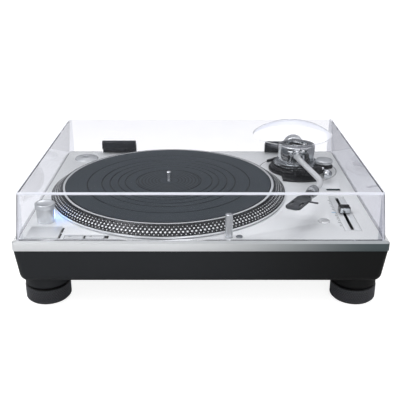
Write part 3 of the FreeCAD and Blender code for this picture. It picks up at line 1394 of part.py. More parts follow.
def arm_bracket():
    """The black bracket whose lobes carry anti-skate, lift, rest and lever."""
    z = (BRACKET_BOTTOM, BRACKET_TOP)
    pieces = [disc(BRACKET_RADIUS, *z, PIVOT)]
    lobes = (
        (SKATE, SKATE_LOBE_RADIUS),
        (LIFT_ROD, LIFT_LOBE_RADIUS),
        (REST_POST, REST_PAD_RADIUS),
        (CUE, CUE_LOBE_RADIUS),
    )
    for centre, radius in lobes:
        pieces.append(disc(radius, *z, centre))
        pieces.append(link(PIVOT, centre, 2 * radius, z))
    cue_y = (CUE[1] - CUE_POST_WIDTH / 2, CUE[1] + CUE_POST_WIDTH / 2)
    cue_x = (CUE[0] - CUE_POST_WIDTH / 2, CUE[0] + CUE_POST_WIDTH / 2)
    pieces.append(block(cue_x, cue_y, (z[0], z[1] + CUE_POST_HEIGHT)))
    pieces.append(disc(LIFT_ROD_RADIUS + LIFT_GUIDE_WALL, z[0], z[1] + LIFT_GUIDE_HEIGHT, LIFT_ROD))
    pieces.append(disc(SKATE_BOSS_RADIUS, z[0], PILLAR_TOP, SKATE))
    bracket = joined(*pieces)
    axle_level = z[1] + CUE_POST_HEIGHT / 2
    axle = bar(
        CUE_AXLE_RADIUS + RUNNING_FIT,
        Vector(cue_x[0] - 1, CUE[1], axle_level),
        Vector(cue_x[1] + 1, CUE[1], axle_level),
    )
    holes = [
        disc(PILLAR_COLUMN_RADIUS, z[0] - 1, z[1] + 1, PIVOT),
        disc(LIFT_ROD_RADIUS + RUNNING_FIT, z[0] - 1, z[1] + LIFT_GUIDE_HEIGHT + 1, LIFT_ROD),
        disc(SKATE_POST_RADIUS, z[0] - 1, PILLAR_TOP + 1, SKATE),
        axle,
    ]
    return bracket.cut(holes)


def link(start, end, width, z):
    """A flat bar between two plan positions."""
    reach = math.hypot(end[0] - start[0], end[1] - start[1])
    bearing = math.degrees(math.atan2(end[1] - start[1], end[0] - start[0]))
    solid = block((0, reach), (-width / 2, width / 2), z)
    solid.Placement = Placement(Vector(start[0], start[1], 0), Rotation(Vector(0, 0, 1), bearing))
    return solid


def arm_pillar():
    """The column in the height ring with the stepped silver disc on top."""
    step = PILLAR_DISC_THICKNESS / PILLAR_STEPS
    outline = [
        (YOKE_SHAFT_RADIUS + RUNNING_FIT, DECK - PILLAR_COLUMN_DROP),
        (PILLAR_COLUMN_RADIUS, DECK - PILLAR_COLUMN_DROP),
        (PILLAR_COLUMN_RADIUS, BRACKET_TOP),
    ]
    for n in range(PILLAR_STEPS):
        radius = PILLAR_DISC_RADIUS - n * PILLAR_STEP_WIDTH
        outline += [(radius, BRACKET_TOP + n * step), (radius, BRACKET_TOP + (n + 1) * step)]
    outline.append((YOKE_SHAFT_RADIUS + RUNNING_FIT, PILLAR_TOP))
    return turned(outline, PIVOT)


def antiskate_dial():
    """The anti-skate knob on its post."""
    low = PILLAR_TOP + SLIDING_GAP
    top = low + SKATE_DIAL_HEIGHT
    outline = [
        (0, BRACKET_BOTTOM + SLIDING_GAP),
        (SKATE_POST_RADIUS - RUNNING_FIT, BRACKET_BOTTOM + SLIDING_GAP),
        (SKATE_POST_RADIUS - RUNNING_FIT, low),
        (SKATE_DIAL_RADIUS, low),
        (SKATE_DIAL_RADIUS, top - SKATE_DIAL_CHAMFER),
        (SKATE_DIAL_RADIUS - SKATE_DIAL_CHAMFER, top),
        (0, top),
    ]
    return turned(outline, SKATE)


# The moving arm, built with the tube along -Y and the pivot at the origin

def placed_arm(shape, rise):
    """Carries a shape from the arm's own frame to the parked arm."""
    moved = shape.copy()
    tilt = Rotation(Vector(1, 0, 0), -rise)
    swing = Rotation(Vector(0, 0, 1), PARK_BEARING + 90)
    origin = Vector(PIVOT[0], PIVOT[1], PIVOT_LEVEL)
    moved.Placement = Placement(origin, swing.multiply(tilt)).multiply(moved.Placement)
    return moved


def middle_direction():
    """The direction of the tube's middle run in the arm's frame."""
    turn = math.radians(TUBE_OUTWARD_ANGLE)
    return Vector(math.sin(turn), -math.cos(turn), 0)


def head_frame():
    """The head end of the tube in the arm's frame: the collar plane's centre and the direction."""
    turn = math.radians(TUBE_INWARD_ANGLE - TUBE_OUTWARD_ANGLE)
    direction = Vector(-math.sin(turn), -math.cos(turn), 0)
    return last_corner().add(direction * TUBE_HEAD_RUN), direction


def last_corner():
    """Where the tube's middle and head runs would meet."""
    return Vector(0, -TUBE_FIRST_RUN, 0).add(middle_direction() * TUBE_MIDDLE_RUN)


def bend(corner, before, after, radius):
    """The arc that rounds a corner between two directions."""
    half = before.getAngle(after) / 2
    tangent = radius * math.tan(half)
    start = corner.sub(before * tangent)
    end = corner.add(after * tangent)
    inward = after.sub(before).normalize()
    middle = corner.add(inward * (radius / math.cos(half) - radius))
    return Part.Arc(start, middle, end).toShape(), start, end


def yoke():
    """The gimbal drum with front and rear windows, a top lip, a shaft and two pivot pins."""
    low = YOKE_BOTTOM - PIVOT_LEVEL
    inner = YOKE_RADIUS - YOKE_WALL
    shaft_low = low - YOKE_SHAFT_LENGTH
    outline = [
        (0, shaft_low),
        (YOKE_SHAFT_RADIUS, shaft_low),
        (YOKE_SHAFT_RADIUS, low),
        (YOKE_RADIUS, low),
        (YOKE_RADIUS, YOKE_RISE - 0.8),
        (YOKE_RADIUS - 0.8, YOKE_RISE),
        (YOKE_LIP_INNER, YOKE_RISE),
        (YOKE_LIP_INNER, YOKE_RISE - YOKE_LIP_THICKNESS),
        (inner, YOKE_RISE - YOKE_LIP_THICKNESS),
        (inner, low + YOKE_BASE),
        (0, low + YOKE_BASE),
    ]
    drum = turned(outline)
    half = YOKE_WINDOW / 2
    window_z = (low + YOKE_BASE, YOKE_RISE - YOKE_LIP_THICKNESS)
    window = block((-half, half), (-YOKE_RADIUS - 1, YOKE_RADIUS + 1), window_z)
    drum = drum.cut(window)
    pins = []
    for side in (-1, 1):
        root = Vector(side * (inner + YOKE_WALL / 2), 0, 0)
        tip = Vector(side * (inner - PIVOT_PIN_REACH), 0, 0)
        pins.append(bar(PIVOT_PIN_RADIUS, root, tip))
    return placed_arm(joined(drum, *pins), 0)


def gimbal_ring():
    """The pivot block with its trunnions, the tube ferrule and the rear stub."""
    front = Vector(0, -BLOCK_HALF_LENGTH, 0)
    back = Vector(0, BLOCK_HALF_LENGTH, 0)
    body = bar(BLOCK_RADIUS, front, back)
    reach = YOKE_RADIUS - YOKE_WALL - TRUNNION_SIDE_GAP
    trunnion = bar(TRUNNION_RADIUS, Vector(-reach, 0, 0), Vector(reach, 0, 0))
    ferrule = bar(FERRULE_RADIUS, Vector(0, -BLOCK_HALF_LENGTH - FERRULE_LENGTH, 0), front)
    stub = bar(STUB_RADIUS, back, Vector(0, BLOCK_HALF_LENGTH + STUB_LENGTH, 0))
    piece = joined(body, trunnion, ferrule, stub)
    pin_start = YOKE_RADIUS - YOKE_WALL - PIVOT_PIN_REACH - SLIDING_GAP
    bores = [
        bar(PIVOT_PIN_RADIUS + RUNNING_FIT, Vector(side * pin_start, 0, 0), Vector(side * (reach + 1), 0, 0))
        for side in (-1, 1)
    ]
    tube_room = bar(TUBE_RADIUS, Vector(0, -BLOCK_HALF_LENGTH - FERRULE_LENGTH - 1, 0), front)
    return placed_arm(piece.cut(bores + [tube_room]), PARK_RISE)


def tube_path():
    """The tube's centre line: three straight runs joined by two opposite arcs."""
    end, head = head_frame()
    first = Vector(0, -1, 0)
    middle = middle_direction()
    outward, out_start, out_end = bend(
        Vector(0, -TUBE_FIRST_RUN, 0), first, middle, TUBE_OUTWARD_RADIUS
    )
    inward, in_start, in_end = bend(last_corner(), middle, head, TUBE_INWARD_RADIUS)
    start = Vector(0, -BLOCK_HALF_LENGTH, 0)
    socket_start = end.sub(head * (SOCKET_DEPTH + SOCKET_WEB))
    edges = [
        Part.LineSegment(start, out_start).toShape(),
        outward,
        Part.LineSegment(out_end, in_start).toShape(),
        inward,
        Part.LineSegment(in_end, socket_start).toShape(),
    ]
    return Part.Wire(edges), socket_start


def swept(path, radius):
    """A round section swept along a path that starts along -Y."""
    start = path.Edges[0].Vertexes[0].Point
    ring = Part.Wire(Part.makeCircle(radius, start, Vector(0, -1, 0)))
    return path.makePipeShell([ring], True, True)


def arm_tube():
    """The S-shaped tube with the headshell socket at its end."""
    path, socket_start = tube_path()
    end, direction = head_frame()
    outer = swept(path, TUBE_RADIUS)
    inner = swept(path, TUBE_RADIUS - TUBE_WALL)
    hollow = outer.cut(inner)
    web_end = socket_start.add(direction * SOCKET_WEB)
    bore = PLUG_RADIUS + THREAD_GAP
    socket = bar(bore + SOCKET_WALL, socket_start, end.sub(direction * COLLAR_SETBACK))
    room = bar(bore, web_end, end.add(direction))
    return placed_arm(joined(hollow, socket).cut(room), PARK_RISE)


def shell_collar():
    """The collar nut around the socket."""
    end, direction = head_frame()
    bore = PLUG_RADIUS + THREAD_GAP + SOCKET_WALL + RUNNING_FIT
    outer = bore + COLLAR_WALL
    low = -COLLAR_SETBACK - COLLAR_LENGTH
    high = -COLLAR_SETBACK
    outline = [
        (bore, low),
        (outer - 1, low),
        (outer, low + 1),
        (outer, high - 0.8),
        (outer - 0.8, high),
        (bore, high),
    ]
    return placed_arm(aimed(turned(outline), end, direction), PARK_RISE)


def headshell():
    """The headshell: plug, neck, slotted plate and finger lift."""
    width = SHELL_WIDTH / 2
    neck = SHELL_NECK_WIDTH / 2
    length = SHELL_LENGTH
    taper_end = SHELL_NECK_LENGTH + SHELL_NECK_WIDTH / 2
    outline = [
        (0, -neck),
        (SHELL_NECK_LENGTH - 3, -neck),
        (taper_end, -width),
        (length - SHELL_NOSE_CUT, -width),
        (length, -width + SHELL_NOSE_CUT),
        (length, width - SHELL_NOSE_CUT),
        (length - SHELL_NOSE_CUT, width),
        (taper_end, width),
        (SHELL_NECK_LENGTH - 3, neck),
        (0, neck),
    ]
    half = SHELL_THICKNESS / 2
    points = [Vector(s, w, -half) for s, w in outline]
    plate = Part.Face(Part.makePolygon(points + points[:1])).extrude(Vector(0, 0, SHELL_THICKNESS))
    neck_high = SHELL_NECK_HEIGHT / 2
    neck_body = block((0, SHELL_NECK_LENGTH), (-neck, neck), (-neck_high, neck_high))
    neck_edges = [e for e in neck_body.Edges if abs(e.Vertexes[0].X - e.Vertexes[-1].X) > 1]
    neck_body = neck_body.makeChamfer(1.5, neck_edges)
    plug = bar(PLUG_RADIUS, Vector(-PLUG_LENGTH, 0, 0), Vector(1, 0, 0))
    finger_y = width + FINGER_REACH
    root = Vector(FINGER_STATION, width - 1, 0)
    knee = Vector(FINGER_STATION + 2, finger_y - FINGER_CURL, 0.5)
    tip = Vector(FINGER_STATION + FINGER_CURL, finger_y, 2.0)
    finger = joined(
        bar(FINGER_RADIUS, root, knee),
        Part.makeSphere(FINGER_RADIUS, knee),
        bar(FINGER_RADIUS, knee, tip),
    )
    slots = []
    for side in (-1, 1):
        middle = side * SHELL_SLOT_PITCH / 2
        x = (SHELL_BOLT_SLOT_REACH - SHELL_BOLT_SLOT_LENGTH / 2, SHELL_BOLT_SLOT_REACH + SHELL_BOLT_SLOT_LENGTH / 2)
        y = (middle - SHELL_BOLT_SLOT_WIDTH / 2, middle + SHELL_BOLT_SLOT_WIDTH / 2)
        slots.append(rounded_plate(x, y, (-half - 1, half + 1), SHELL_BOLT_SLOT_WIDTH / 2 - 0.01))
    shell = joined(plate, neck_body, plug, finger).cut(slots)
    end, direction = head_frame()
    turn = Rotation(Vector(0, 0, 1), TUBE_OUTWARD_ANGLE - TUBE_INWARD_ANGLE - 90)
    shell.Placement = Placement(end, turn)
    return placed_arm(shell, PARK_RISE)


def rear_bar(radius, start, length, bore, chamfer):
    """A round weight on the rear stub, with a bore and chamfered edges."""
    end = start + length
    outline = [
        (bore, start),
        (radius - chamfer, start),
        (radius, start + chamfer),
        (radius, end - chamfer),
        (radius - chamfer, end),
        (bore, end),
    ]
    return placed_arm(aimed(turned(outline), Vector(0, 0, 0), Vector(0, 1, 0)), PARK_RISE)


WEIGHT_START = FORCE_RING_START + FORCE_RING_LENGTH + WEIGHT_GAP
WEIGHT_SLEEVE_BORE = STUB_RADIUS + THREAD_GAP
WEIGHT_SLEEVE_RADIUS = WEIGHT_SLEEVE_BORE + WEIGHT_SLEEVE_WALL


def weight_sleeve():
    """The threaded sleeve on the rear stub."""
    length = FORCE_RING_LENGTH + WEIGHT_GAP + WEIGHT_LENGTH
    return rear_bar(WEIGHT_SLEEVE_RADIUS, FORCE_RING_START, length, WEIGHT_SLEEVE_BORE, 0.2)


def force_ring():
    """The stylus force dial ring."""
    bore = WEIGHT_SLEEVE_RADIUS + RUNNING_FIT
    return rear_bar(FORCE_RING_RADIUS, FORCE_RING_START, FORCE_RING_LENGTH, bore, 0.6)


def counterweight():
    """The balance weight."""
    bore = WEIGHT_SLEEVE_RADIUS + RUNNING_FIT
    return rear_bar(WEIGHT_RADIUS, WEIGHT_START, WEIGHT_LENGTH, bore, WEIGHT_CHAMFER)


# The arm rest, the lift and the cueing lever

def rest_level():
    """The height of the parked tube's centre over the arm rest."""
    reach = TUBE_FIRST_RUN + REST_STATION * math.cos(math.radians(TUBE_OUTWARD_ANGLE))
    return PIVOT_LEVEL + reach * math.tan(math.radians(PARK_RISE))


def in_rest_frame(shape):
    """Turns a shape from the rest's own frame, tube along -Y and centred, to its place."""
    moved = shape.copy()
    turn = Rotation(Vector(0, 0, 1), MIDDLE_BEARING + 90)
    moved.Placement = Placement(point(REST_TUBE, 0), turn).multiply(moved.Placement)
    return moved


def arm_rest():
    """The post with the shelf under the tube and the ear that carries the latch."""
    level = rest_level()
    shelf_top = level - TUBE_RADIUS - SLIDING_GAP
    half = REST_SHELF_DEPTH / 2
    post = disc(REST_POST_RADIUS, BRACKET_TOP, shelf_top, (REST_SIDE, 0))
    shelf_x = (-TUBE_RADIUS, REST_SIDE + REST_POST_RADIUS)
    shelf = block(shelf_x, (-half, half), (shelf_top - REST_SHELF_THICKNESS, shelf_top))
    ear_x = (TUBE_RADIUS + SIDE_GAP, TUBE_RADIUS + SIDE_GAP + REST_EAR_THICKNESS)
    ear = block(ear_x, (-half, half), (shelf_top - 1, shelf_top + REST_EAR_HEIGHT))
    axle_x = CLIP_AXIS_X
    axle_z = clip_level()
    hub = bar(CLIP_EYE_RADIUS, Vector(axle_x, -half, axle_z), Vector(axle_x, half, axle_z))
    rest = joined(post, shelf, ear, hub)
    return in_rest_frame(rest.cut(clip_axle(half + 1, CLIP_AXIS_RADIUS + RUNNING_FIT)))


CLIP_AXIS_X = TUBE_RADIUS + SIDE_GAP + CLIP_EYE_RADIUS


def clip_level():
    """The height of the latch's axle."""
    return rest_level() + TUBE_RADIUS - CLIP_EYE_RADIUS


def clip_axle(half, radius):
    """The latch's axle, along the tube."""
    level = clip_level()
    return bar(radius, Vector(CLIP_AXIS_X, -half, level), Vector(CLIP_AXIS_X, half, level))


def arm_clip():
    """The latch, standing open: two eyes, an axle and a strap that closes over the tube."""
    half = REST_SHELF_DEPTH / 2
    level = clip_level()
    gap = SLIDING_GAP
    outer = half + gap + CLIP_THICKNESS
    axle = clip_axle(outer, CLIP_AXIS_RADIUS)
    strap_low = level + CLIP_EYE_RADIUS + gap
    strap_x = (CLIP_AXIS_X - CLIP_LENGTH, CLIP_AXIS_X + CLIP_EYE_RADIUS)
    strap = block(strap_x, (-outer, outer), (strap_low, strap_low + CLIP_THICKNESS))
    pieces = [strap]
    for side in (-1, 1):
        y = sorted((side * (half + gap), side * outer))
        eye_x = (CLIP_AXIS_X - CLIP_EYE_RADIUS, CLIP_AXIS_X + CLIP_EYE_RADIUS)
        pieces.append(block(eye_x, y, (level, strap_low + 0.5)))
        pieces.append(bar(CLIP_EYE_RADIUS, Vector(CLIP_AXIS_X, y[0], level), Vector(CLIP_AXIS_X, y[1], level)))
    clip = joined(axle, *pieces)
    clip.rotate(Vector(CLIP_AXIS_X, 0, level), Vector(0, 1, 0), CLIP_OPEN_ANGLE)
    return in_rest_frame(clip)


def lift_bar():
    """The curved bar under the arm with its rod, lowered."""
    top = BRACKET_TOP + LIFT_BAR_RISE
    low = top - LIFT_BAR_THICKNESS
    inner = LIFT_BAR_REACH - LIFT_BAR_WIDTH / 2
    outer = LIFT_BAR_REACH + LIFT_BAR_WIDTH / 2
    span = LIFT_BAR_END - LIFT_BAR_START
    ring = Part.makeCylinder(outer, top - low, Vector(0, 0, low), Vector(0, 0, 1), span)
    ring = ring.cut(disc(inner, low - 1, top + 1))
    ring.rotate(Vector(0, 0, 0), Vector(0, 0, 1), LIFT_BAR_START)
    ring.translate(point(PIVOT, 0))
    root = polar(PIVOT, LIFT_BAR_REACH, LIFT_BEARING)
    web = link(root, LIFT_ROD, 2 * LIFT_ROD_RADIUS, (low, top))
    rod = disc(LIFT_ROD_RADIUS, top - LIFT_ROD_LENGTH, top, LIFT_ROD)
    return joined(ring, web, rod)


def cue_lever():
    """The lever with its round knob, turning on an axle through the bracket's post."""
    level = BRACKET_TOP + CUE_POST_HEIGHT / 2
    half = CUE_POST_WIDTH / 2
    side = half + SLIDING_GAP
    axle = bar(CUE_AXLE_RADIUS, Vector(CUE[0] - half, CUE[1], level), Vector(CUE[0] + side + 1, CUE[1], level))
    root = Vector(CUE[0] + side + CUE_LEVER_THICKNESS / 2, CUE[1], level)
    hub_x = (CUE[0] + side, CUE[0] + side + CUE_LEVER_THICKNESS)
    hub = bar(CUE_POST_HEIGHT / 2, Vector(hub_x[0], CUE[1], level), Vector(hub_x[1], CUE[1], level))
    tip = Vector(CUE[0] + CUE_LEVER_SIDE, CUE[1] - CUE_LEVER_REACH, level)
    arm = bar(CUE_LEVER_THICKNESS / 2, root, tip)
    ball = Part.makeSphere(CUE_KNOB_RADIUS, tip.sub(Vector(0, 0, CUE_KNOB_SINK)))
    return joined(axle, hub, arm, ball)


# The feet

def foot_ring(at):
    """A turned foot with its stud and the recess for the pad."""
    low = PAD_PROUD
    top = low + FOOT_SHELL_HEIGHT
    ceiling = PAD_THICKNESS + SLIDING_GAP
    outline = [
        (0, ceiling),
        (PAD_RADIUS + SLIDING_GAP, ceiling),
        (PAD_RADIUS + SLIDING_GAP, low),
        (FOOT_RADIUS - FOOT_BOTTOM_CHAMFER, low),
        (FOOT_RADIUS, low + FOOT_BOTTOM_CHAMFER),
        (FOOT_RADIUS, top - FOOT_TOP_CHAMFER),
        (FOOT_RADIUS - FOOT_TOP_CHAMFER, top),
        (STUD_RADIUS, top),
        (STUD_RADIUS, top + STUD_LENGTH),
        (0, top + STUD_LENGTH),
    ]
    return turned(outline, at)


def foot_pad(at):
    """The rubber pad that stands on the floor."""
    outline = [
        (0, 0),
        (PAD_RADIUS - 1, 0),
        (PAD_RADIUS, 1),
        (PAD_RADIUS, PAD_THICKNESS),
        (0, PAD_THICKNESS),
    ]
    return turned(outline, at)


PIECES = {
    "top_plate": top_plate,
    "cabinet": cabinet,
    "bottom_cover": bottom_cover,
    "screws": screws,
    "motor_base": motor_base,
    "stator": stator,
    "bearing_sleeve": bearing_sleeve,
    "control_board": control_board,
    "power_board": power_board,
    "hinge_sockets": hinge_sockets,
    "hinge_pins": hinge_pins,
    "output_panel": output_panel,
    "output_jacks": output_jacks,
    "ground_terminal": ground_terminal,
    "mains_inlet": mains_inlet,
    "strobe_tower": strobe_tower,
    "strobe_window": strobe_window,
    "pitch_panel": pitch_panel,
    "fader_body": fader_body,
    "arm_flange": arm_flange,
    "platter": platter,
    "rotor_magnet": rotor_magnet,
    "spindle": spindle,
    "rubber_mat": rubber_mat,
    "dust_cover": dust_cover,
    "hinge_arms": hinge_arms,
    "arm_pillar": arm_pillar,
    "arm_bracket": arm_bracket,
    "arm_rest": arm_rest,
    "height_ring": height_ring,
    "arm_lock_lever": arm_lock_lever,
    "arm_clip": arm_clip,
    "antiskate_dial": antiskate_dial,
    "cue_lever": cue_lever,
    "lift_bar": lift_bar,
    "yoke": yoke,
    "gimbal_ring": gimbal_ring,
    "arm_tube": arm_tube,
    "weight_sleeve": weight_sleeve,
    "counterweight": counterweight,
    "force_ring": force_ring,
    "shell_collar": shell_collar,
    "headshell": headshell,
    "power_knob": power_knob,
    "target_light": target_light,
    "pitch_knob": pitch_knob,
    "record_adapter": record_adapter,
}

os.makedirs("parts", exist_ok=True)
for name, make in PIECES.items():
    save(name, make())
save("start_stop_button", push_button(START, START_WIDTH, START_DEPTH, START_PROUD))
save("speed_button_33", push_button(SPEED_33, SPEED_WIDTH, SPEED_DEPTH, SPEED_PROUD))
save("speed_button_45", push_button(SPEED_45, SPEED_WIDTH, SPEED_DEPTH, SPEED_PROUD))
save("target_button", round_button(TARGET_BUTTON, TARGET_BUTTON_RADIUS, TARGET_BUTTON_PROUD, 0.5))
save("reset_button", round_button(RESET, RESET_RADIUS, RESET_PROUD, 0.7))
for corner, place in FEET.items():
    save("foot_ring_" + corner, foot_ring(place))
    save("foot_pad_" + corner, foot_pad(place))
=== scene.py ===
"""Looks of the direct drive turntable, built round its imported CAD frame."""

from __future__ import annotations

import logging
import math
from dataclasses import dataclass, field
from enum import Enum
from typing import Any, Iterable, Mapping, Sequence, Union

import bmesh
import bpy
from mathutils import Matrix, Vector

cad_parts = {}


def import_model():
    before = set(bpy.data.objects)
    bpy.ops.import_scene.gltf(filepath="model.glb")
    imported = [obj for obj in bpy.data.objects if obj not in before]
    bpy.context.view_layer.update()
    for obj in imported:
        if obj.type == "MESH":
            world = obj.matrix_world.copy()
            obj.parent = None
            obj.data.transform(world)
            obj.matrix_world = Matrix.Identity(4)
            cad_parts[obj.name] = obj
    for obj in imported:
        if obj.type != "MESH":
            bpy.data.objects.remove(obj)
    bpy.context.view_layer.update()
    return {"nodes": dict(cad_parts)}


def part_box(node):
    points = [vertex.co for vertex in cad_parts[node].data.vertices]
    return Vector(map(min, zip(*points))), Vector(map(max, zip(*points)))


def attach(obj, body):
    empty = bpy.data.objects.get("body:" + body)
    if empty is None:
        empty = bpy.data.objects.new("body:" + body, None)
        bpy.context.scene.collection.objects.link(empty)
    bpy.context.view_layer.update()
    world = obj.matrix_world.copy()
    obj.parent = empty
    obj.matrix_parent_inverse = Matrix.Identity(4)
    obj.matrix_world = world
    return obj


LOG = logging.getLogger("turntable")
MM = 0.001
WHITE = (1.0, 1.0, 1.0, 1.0)
Number = Union[float, "Value"]


def tone(code: str) -> tuple[float, float, float, float]:
    """Turns a hex colour into the linear colour that a shader takes.

    Args:
        code: Six hex digits, red first.

    Returns:
        Linear red, green, blue and a full alpha.
    """
    parts = [int(code[n : n + 2], 16) / 255 for n in (0, 2, 4)]
    line = [c / 12.92 if c <= 0.04045 else ((c + 0.055) / 1.055) ** 2.4 for c in parts]
    return (line[0], line[1], line[2], 1.0)


# Shader writing


class Value:
    """One output socket of a shader tree, which Python's operators work on."""

    def __init__(self, tree: "Tree", socket: bpy.types.NodeSocket) -> None:
        """Keeps the socket and the tree that it belongs to."""
        self.tree = tree
        self.socket = socket

    def math(self, operation: str, *others: Number) -> "Value":
        """Adds one Math node.

        Args:
            operation: The Math node's operation.
            others: The operands after this one.

        Returns:
            The node's result.
        """
        operands = {n: other for n, other in enumerate((self, *others))}
        return self.tree.node("ShaderNodeMath", {"operation": operation}, operands)

    def __add__(self, other: Number) -> "Value":
        """Sum."""
        return self.math("ADD", other)

    __radd__ = __add__

    def __mul__(self, other: Number) -> "Value":
        """Product."""
        return self.math("MULTIPLY", other)

    __rmul__ = __mul__

    def __sub__(self, other: Number) -> "Value":
        """Difference."""
        return self.math("SUBTRACT", other)

    def __rsub__(self, other: Number) -> "Value":
        """Difference from a number."""
        return self.math("MULTIPLY", -1.0).math("ADD", other)

    def __truediv__(self, other: Number) -> "Value":
        """Quotient."""
        return self.math("DIVIDE", other)

    def above(self, other: Number) -> "Value":
        """One where this value is above the other, else zero."""
        return self.math("GREATER_THAN", other)

    def below(self, other: Number) -> "Value":
        """One where this value is below the other, else zero."""
        return self.math("LESS_THAN", other)

    def between(self, low: Number, high: Number) -> "Value":
        """One where this value lies between two others, else zero."""
        return self.above(low) * self.below(high)

    def ramp(self, low: float, high: float) -> "Value":
        """Runs smoothly from zero at low to one at high."""
        settings = {"interpolation_type": "SMOOTHSTEP"}
        return self.tree.node(
            "ShaderNodeMapRange", settings, {"Value": self, "From Min": low, "From Max": high}
        )


class Tree:
    """A node tree while it is being written."""

    def __init__(self, nodes: bpy.types.NodeTree) -> None:
        """Empties the tree."""
        self.nodes = nodes
        nodes.nodes.clear()

    def node(
        self,
        kind: str,
        settings: Mapping[str, Any] | None = None,
        inputs: Mapping[Any, Any] | None = None,
        output: Any = None,
    ) -> Value:
        """Adds a node.

        Args:
            kind: The node's type.
            settings: Properties, which are set first. "stops" sets a ramp's colours.
            inputs: Values or links by socket name, identifier or place.
            output: The output's name or identifier, or None for the first one that is on.

        Returns:
            The output.
        """
        made = self.nodes.nodes.new(kind)
        for name, value in (settings or {}).items():
            if name == "stops":
                self.set_stops(made.color_ramp, value)
            else:
                setattr(made, name, value)
        for key, value in (inputs or {}).items():
            socket = made.inputs[key] if isinstance(key, int) else self.find(made.inputs, key)
            if isinstance(value, Value):
                self.nodes.links.new(value.socket, socket)
            else:
                socket.default_value = value
        if not made.outputs:
            return Value(self, None)
        if output is None:
            return Value(self, next(s for s in made.outputs if s.enabled))
        return Value(self, self.find(made.outputs, output))

    @staticmethod
    def find(sockets: Any, key: str) -> bpy.types.NodeSocket:
        """Finds a socket that is on by its name or its identifier."""
        return next(s for s in sockets if s.enabled and key in (s.name, s.identifier))

    @staticmethod
    def set_stops(
        ramp: bpy.types.ColorRamp, stops: Sequence[tuple[float, Sequence[float]]]
    ) -> None:
        """Sets a colour ramp's stops."""
        while len(ramp.elements) < len(stops):
            ramp.elements.new(1.0)
        for element, (place, colour) in zip(ramp.elements, stops):
            element.position = place
            element.color = colour

    def mix(self, factor: Number, first: Any, second: Any) -> Value:
        """Mixes two colours."""
        settings = {"data_type": "RGBA"}
        inputs = {"Factor_Float": factor, "A_Color": first, "B_Color": second}
        return self.node("ShaderNodeMix", settings, inputs)

    def blend(self, factor: Number, first: Value, second: Value) -> Value:
        """Mixes two shaders."""
        return self.node("ShaderNodeMixShader", None, {0: factor, 1: first, 2: second})

    def vector(self, operation: str, *operands: Any) -> Value:
        """Adds a Vector Math node."""
        inputs = dict(enumerate(operands))
        return self.node("ShaderNodeVectorMath", {"operation": operation}, inputs)

    def combine(self, x: Number, y: Number, z: Number) -> Value:
        """Makes a vector from three values."""
        return self.node("ShaderNodeCombineXYZ", None, {0: x, 1: y, 2: z})

    def split(self, vector: Value) -> tuple[Value, Value, Value]:
        """The three components of a vector."""
        outputs = self.node("ShaderNodeSeparateXYZ", None, {0: vector}).socket.node.outputs
        return tuple(Value(self, outputs[n]) for n in range(3))

    def noise(self, vector: Value, scale: float, detail: float = 3.0) -> Value:
        """Plain noise from zero to one."""
        inputs = {"Vector": vector, "Scale": scale, "Detail": detail}
        return self.node("ShaderNodeTexNoise", None, inputs)

    def bump(self, height: Value, distance: float, strength: float = 1.0) -> Value:
        """Turns a height into a bumped normal."""
        inputs = {"Strength": strength, "Distance": distance, "Height": height}
        return self.node("ShaderNodeBump", None, inputs)

    def ray(self, kind: str) -> Value:
        """One of the Light Path node's outputs."""
        return self.node("ShaderNodeLightPath", output=kind)

    def seen(self) -> Value:
        """One for rays from the camera, and for rays through the cover with no mirror before."""
        direct = self.ray("Glossy Depth").below(0.5)
        return self.ray("Is Camera Ray").math("MAXIMUM", self.ray("Is Transmission Ray") * direct)


# What all finishes share
PATCHES = 14.0  # Broad patches of colour in a metre.
PATCH_SHARE = 0.55  # How far the patches move the colour.
PATTERN_SHARE = 0.45  # How far the fine pattern moves it.
DARKENING = 1.6  # How many mottles darker the dark colour is.
COAT_ROUGHNESS = 0.08
TURNED_LINES = 2600.0  # In a metre, along the axis and outwards.
BRUSHED_LINES = (18.0, 1500.0, 1500.0)  # In a metre along X, Y and Z.
CAST_SMOOTHNESS = 0.6
KNURL_ROWS = 1100.0  # Radians in a metre along the axis.


class Grain(Enum):
    """How a surface was worked."""

    PLAIN = "plain"
    TURNED = "turned"
    BRUSHED = "brushed"
    CAST = "cast"
    KNURLED = "knurled"


@dataclass(frozen=True)
class Axis:
    """A line in space that a piece was turned about, in metres."""

    point: tuple[float, float, float] = (0.0, 0.0, 0.0)
    direction: tuple[float, float, float] = (0.0, 0.0, 1.0)


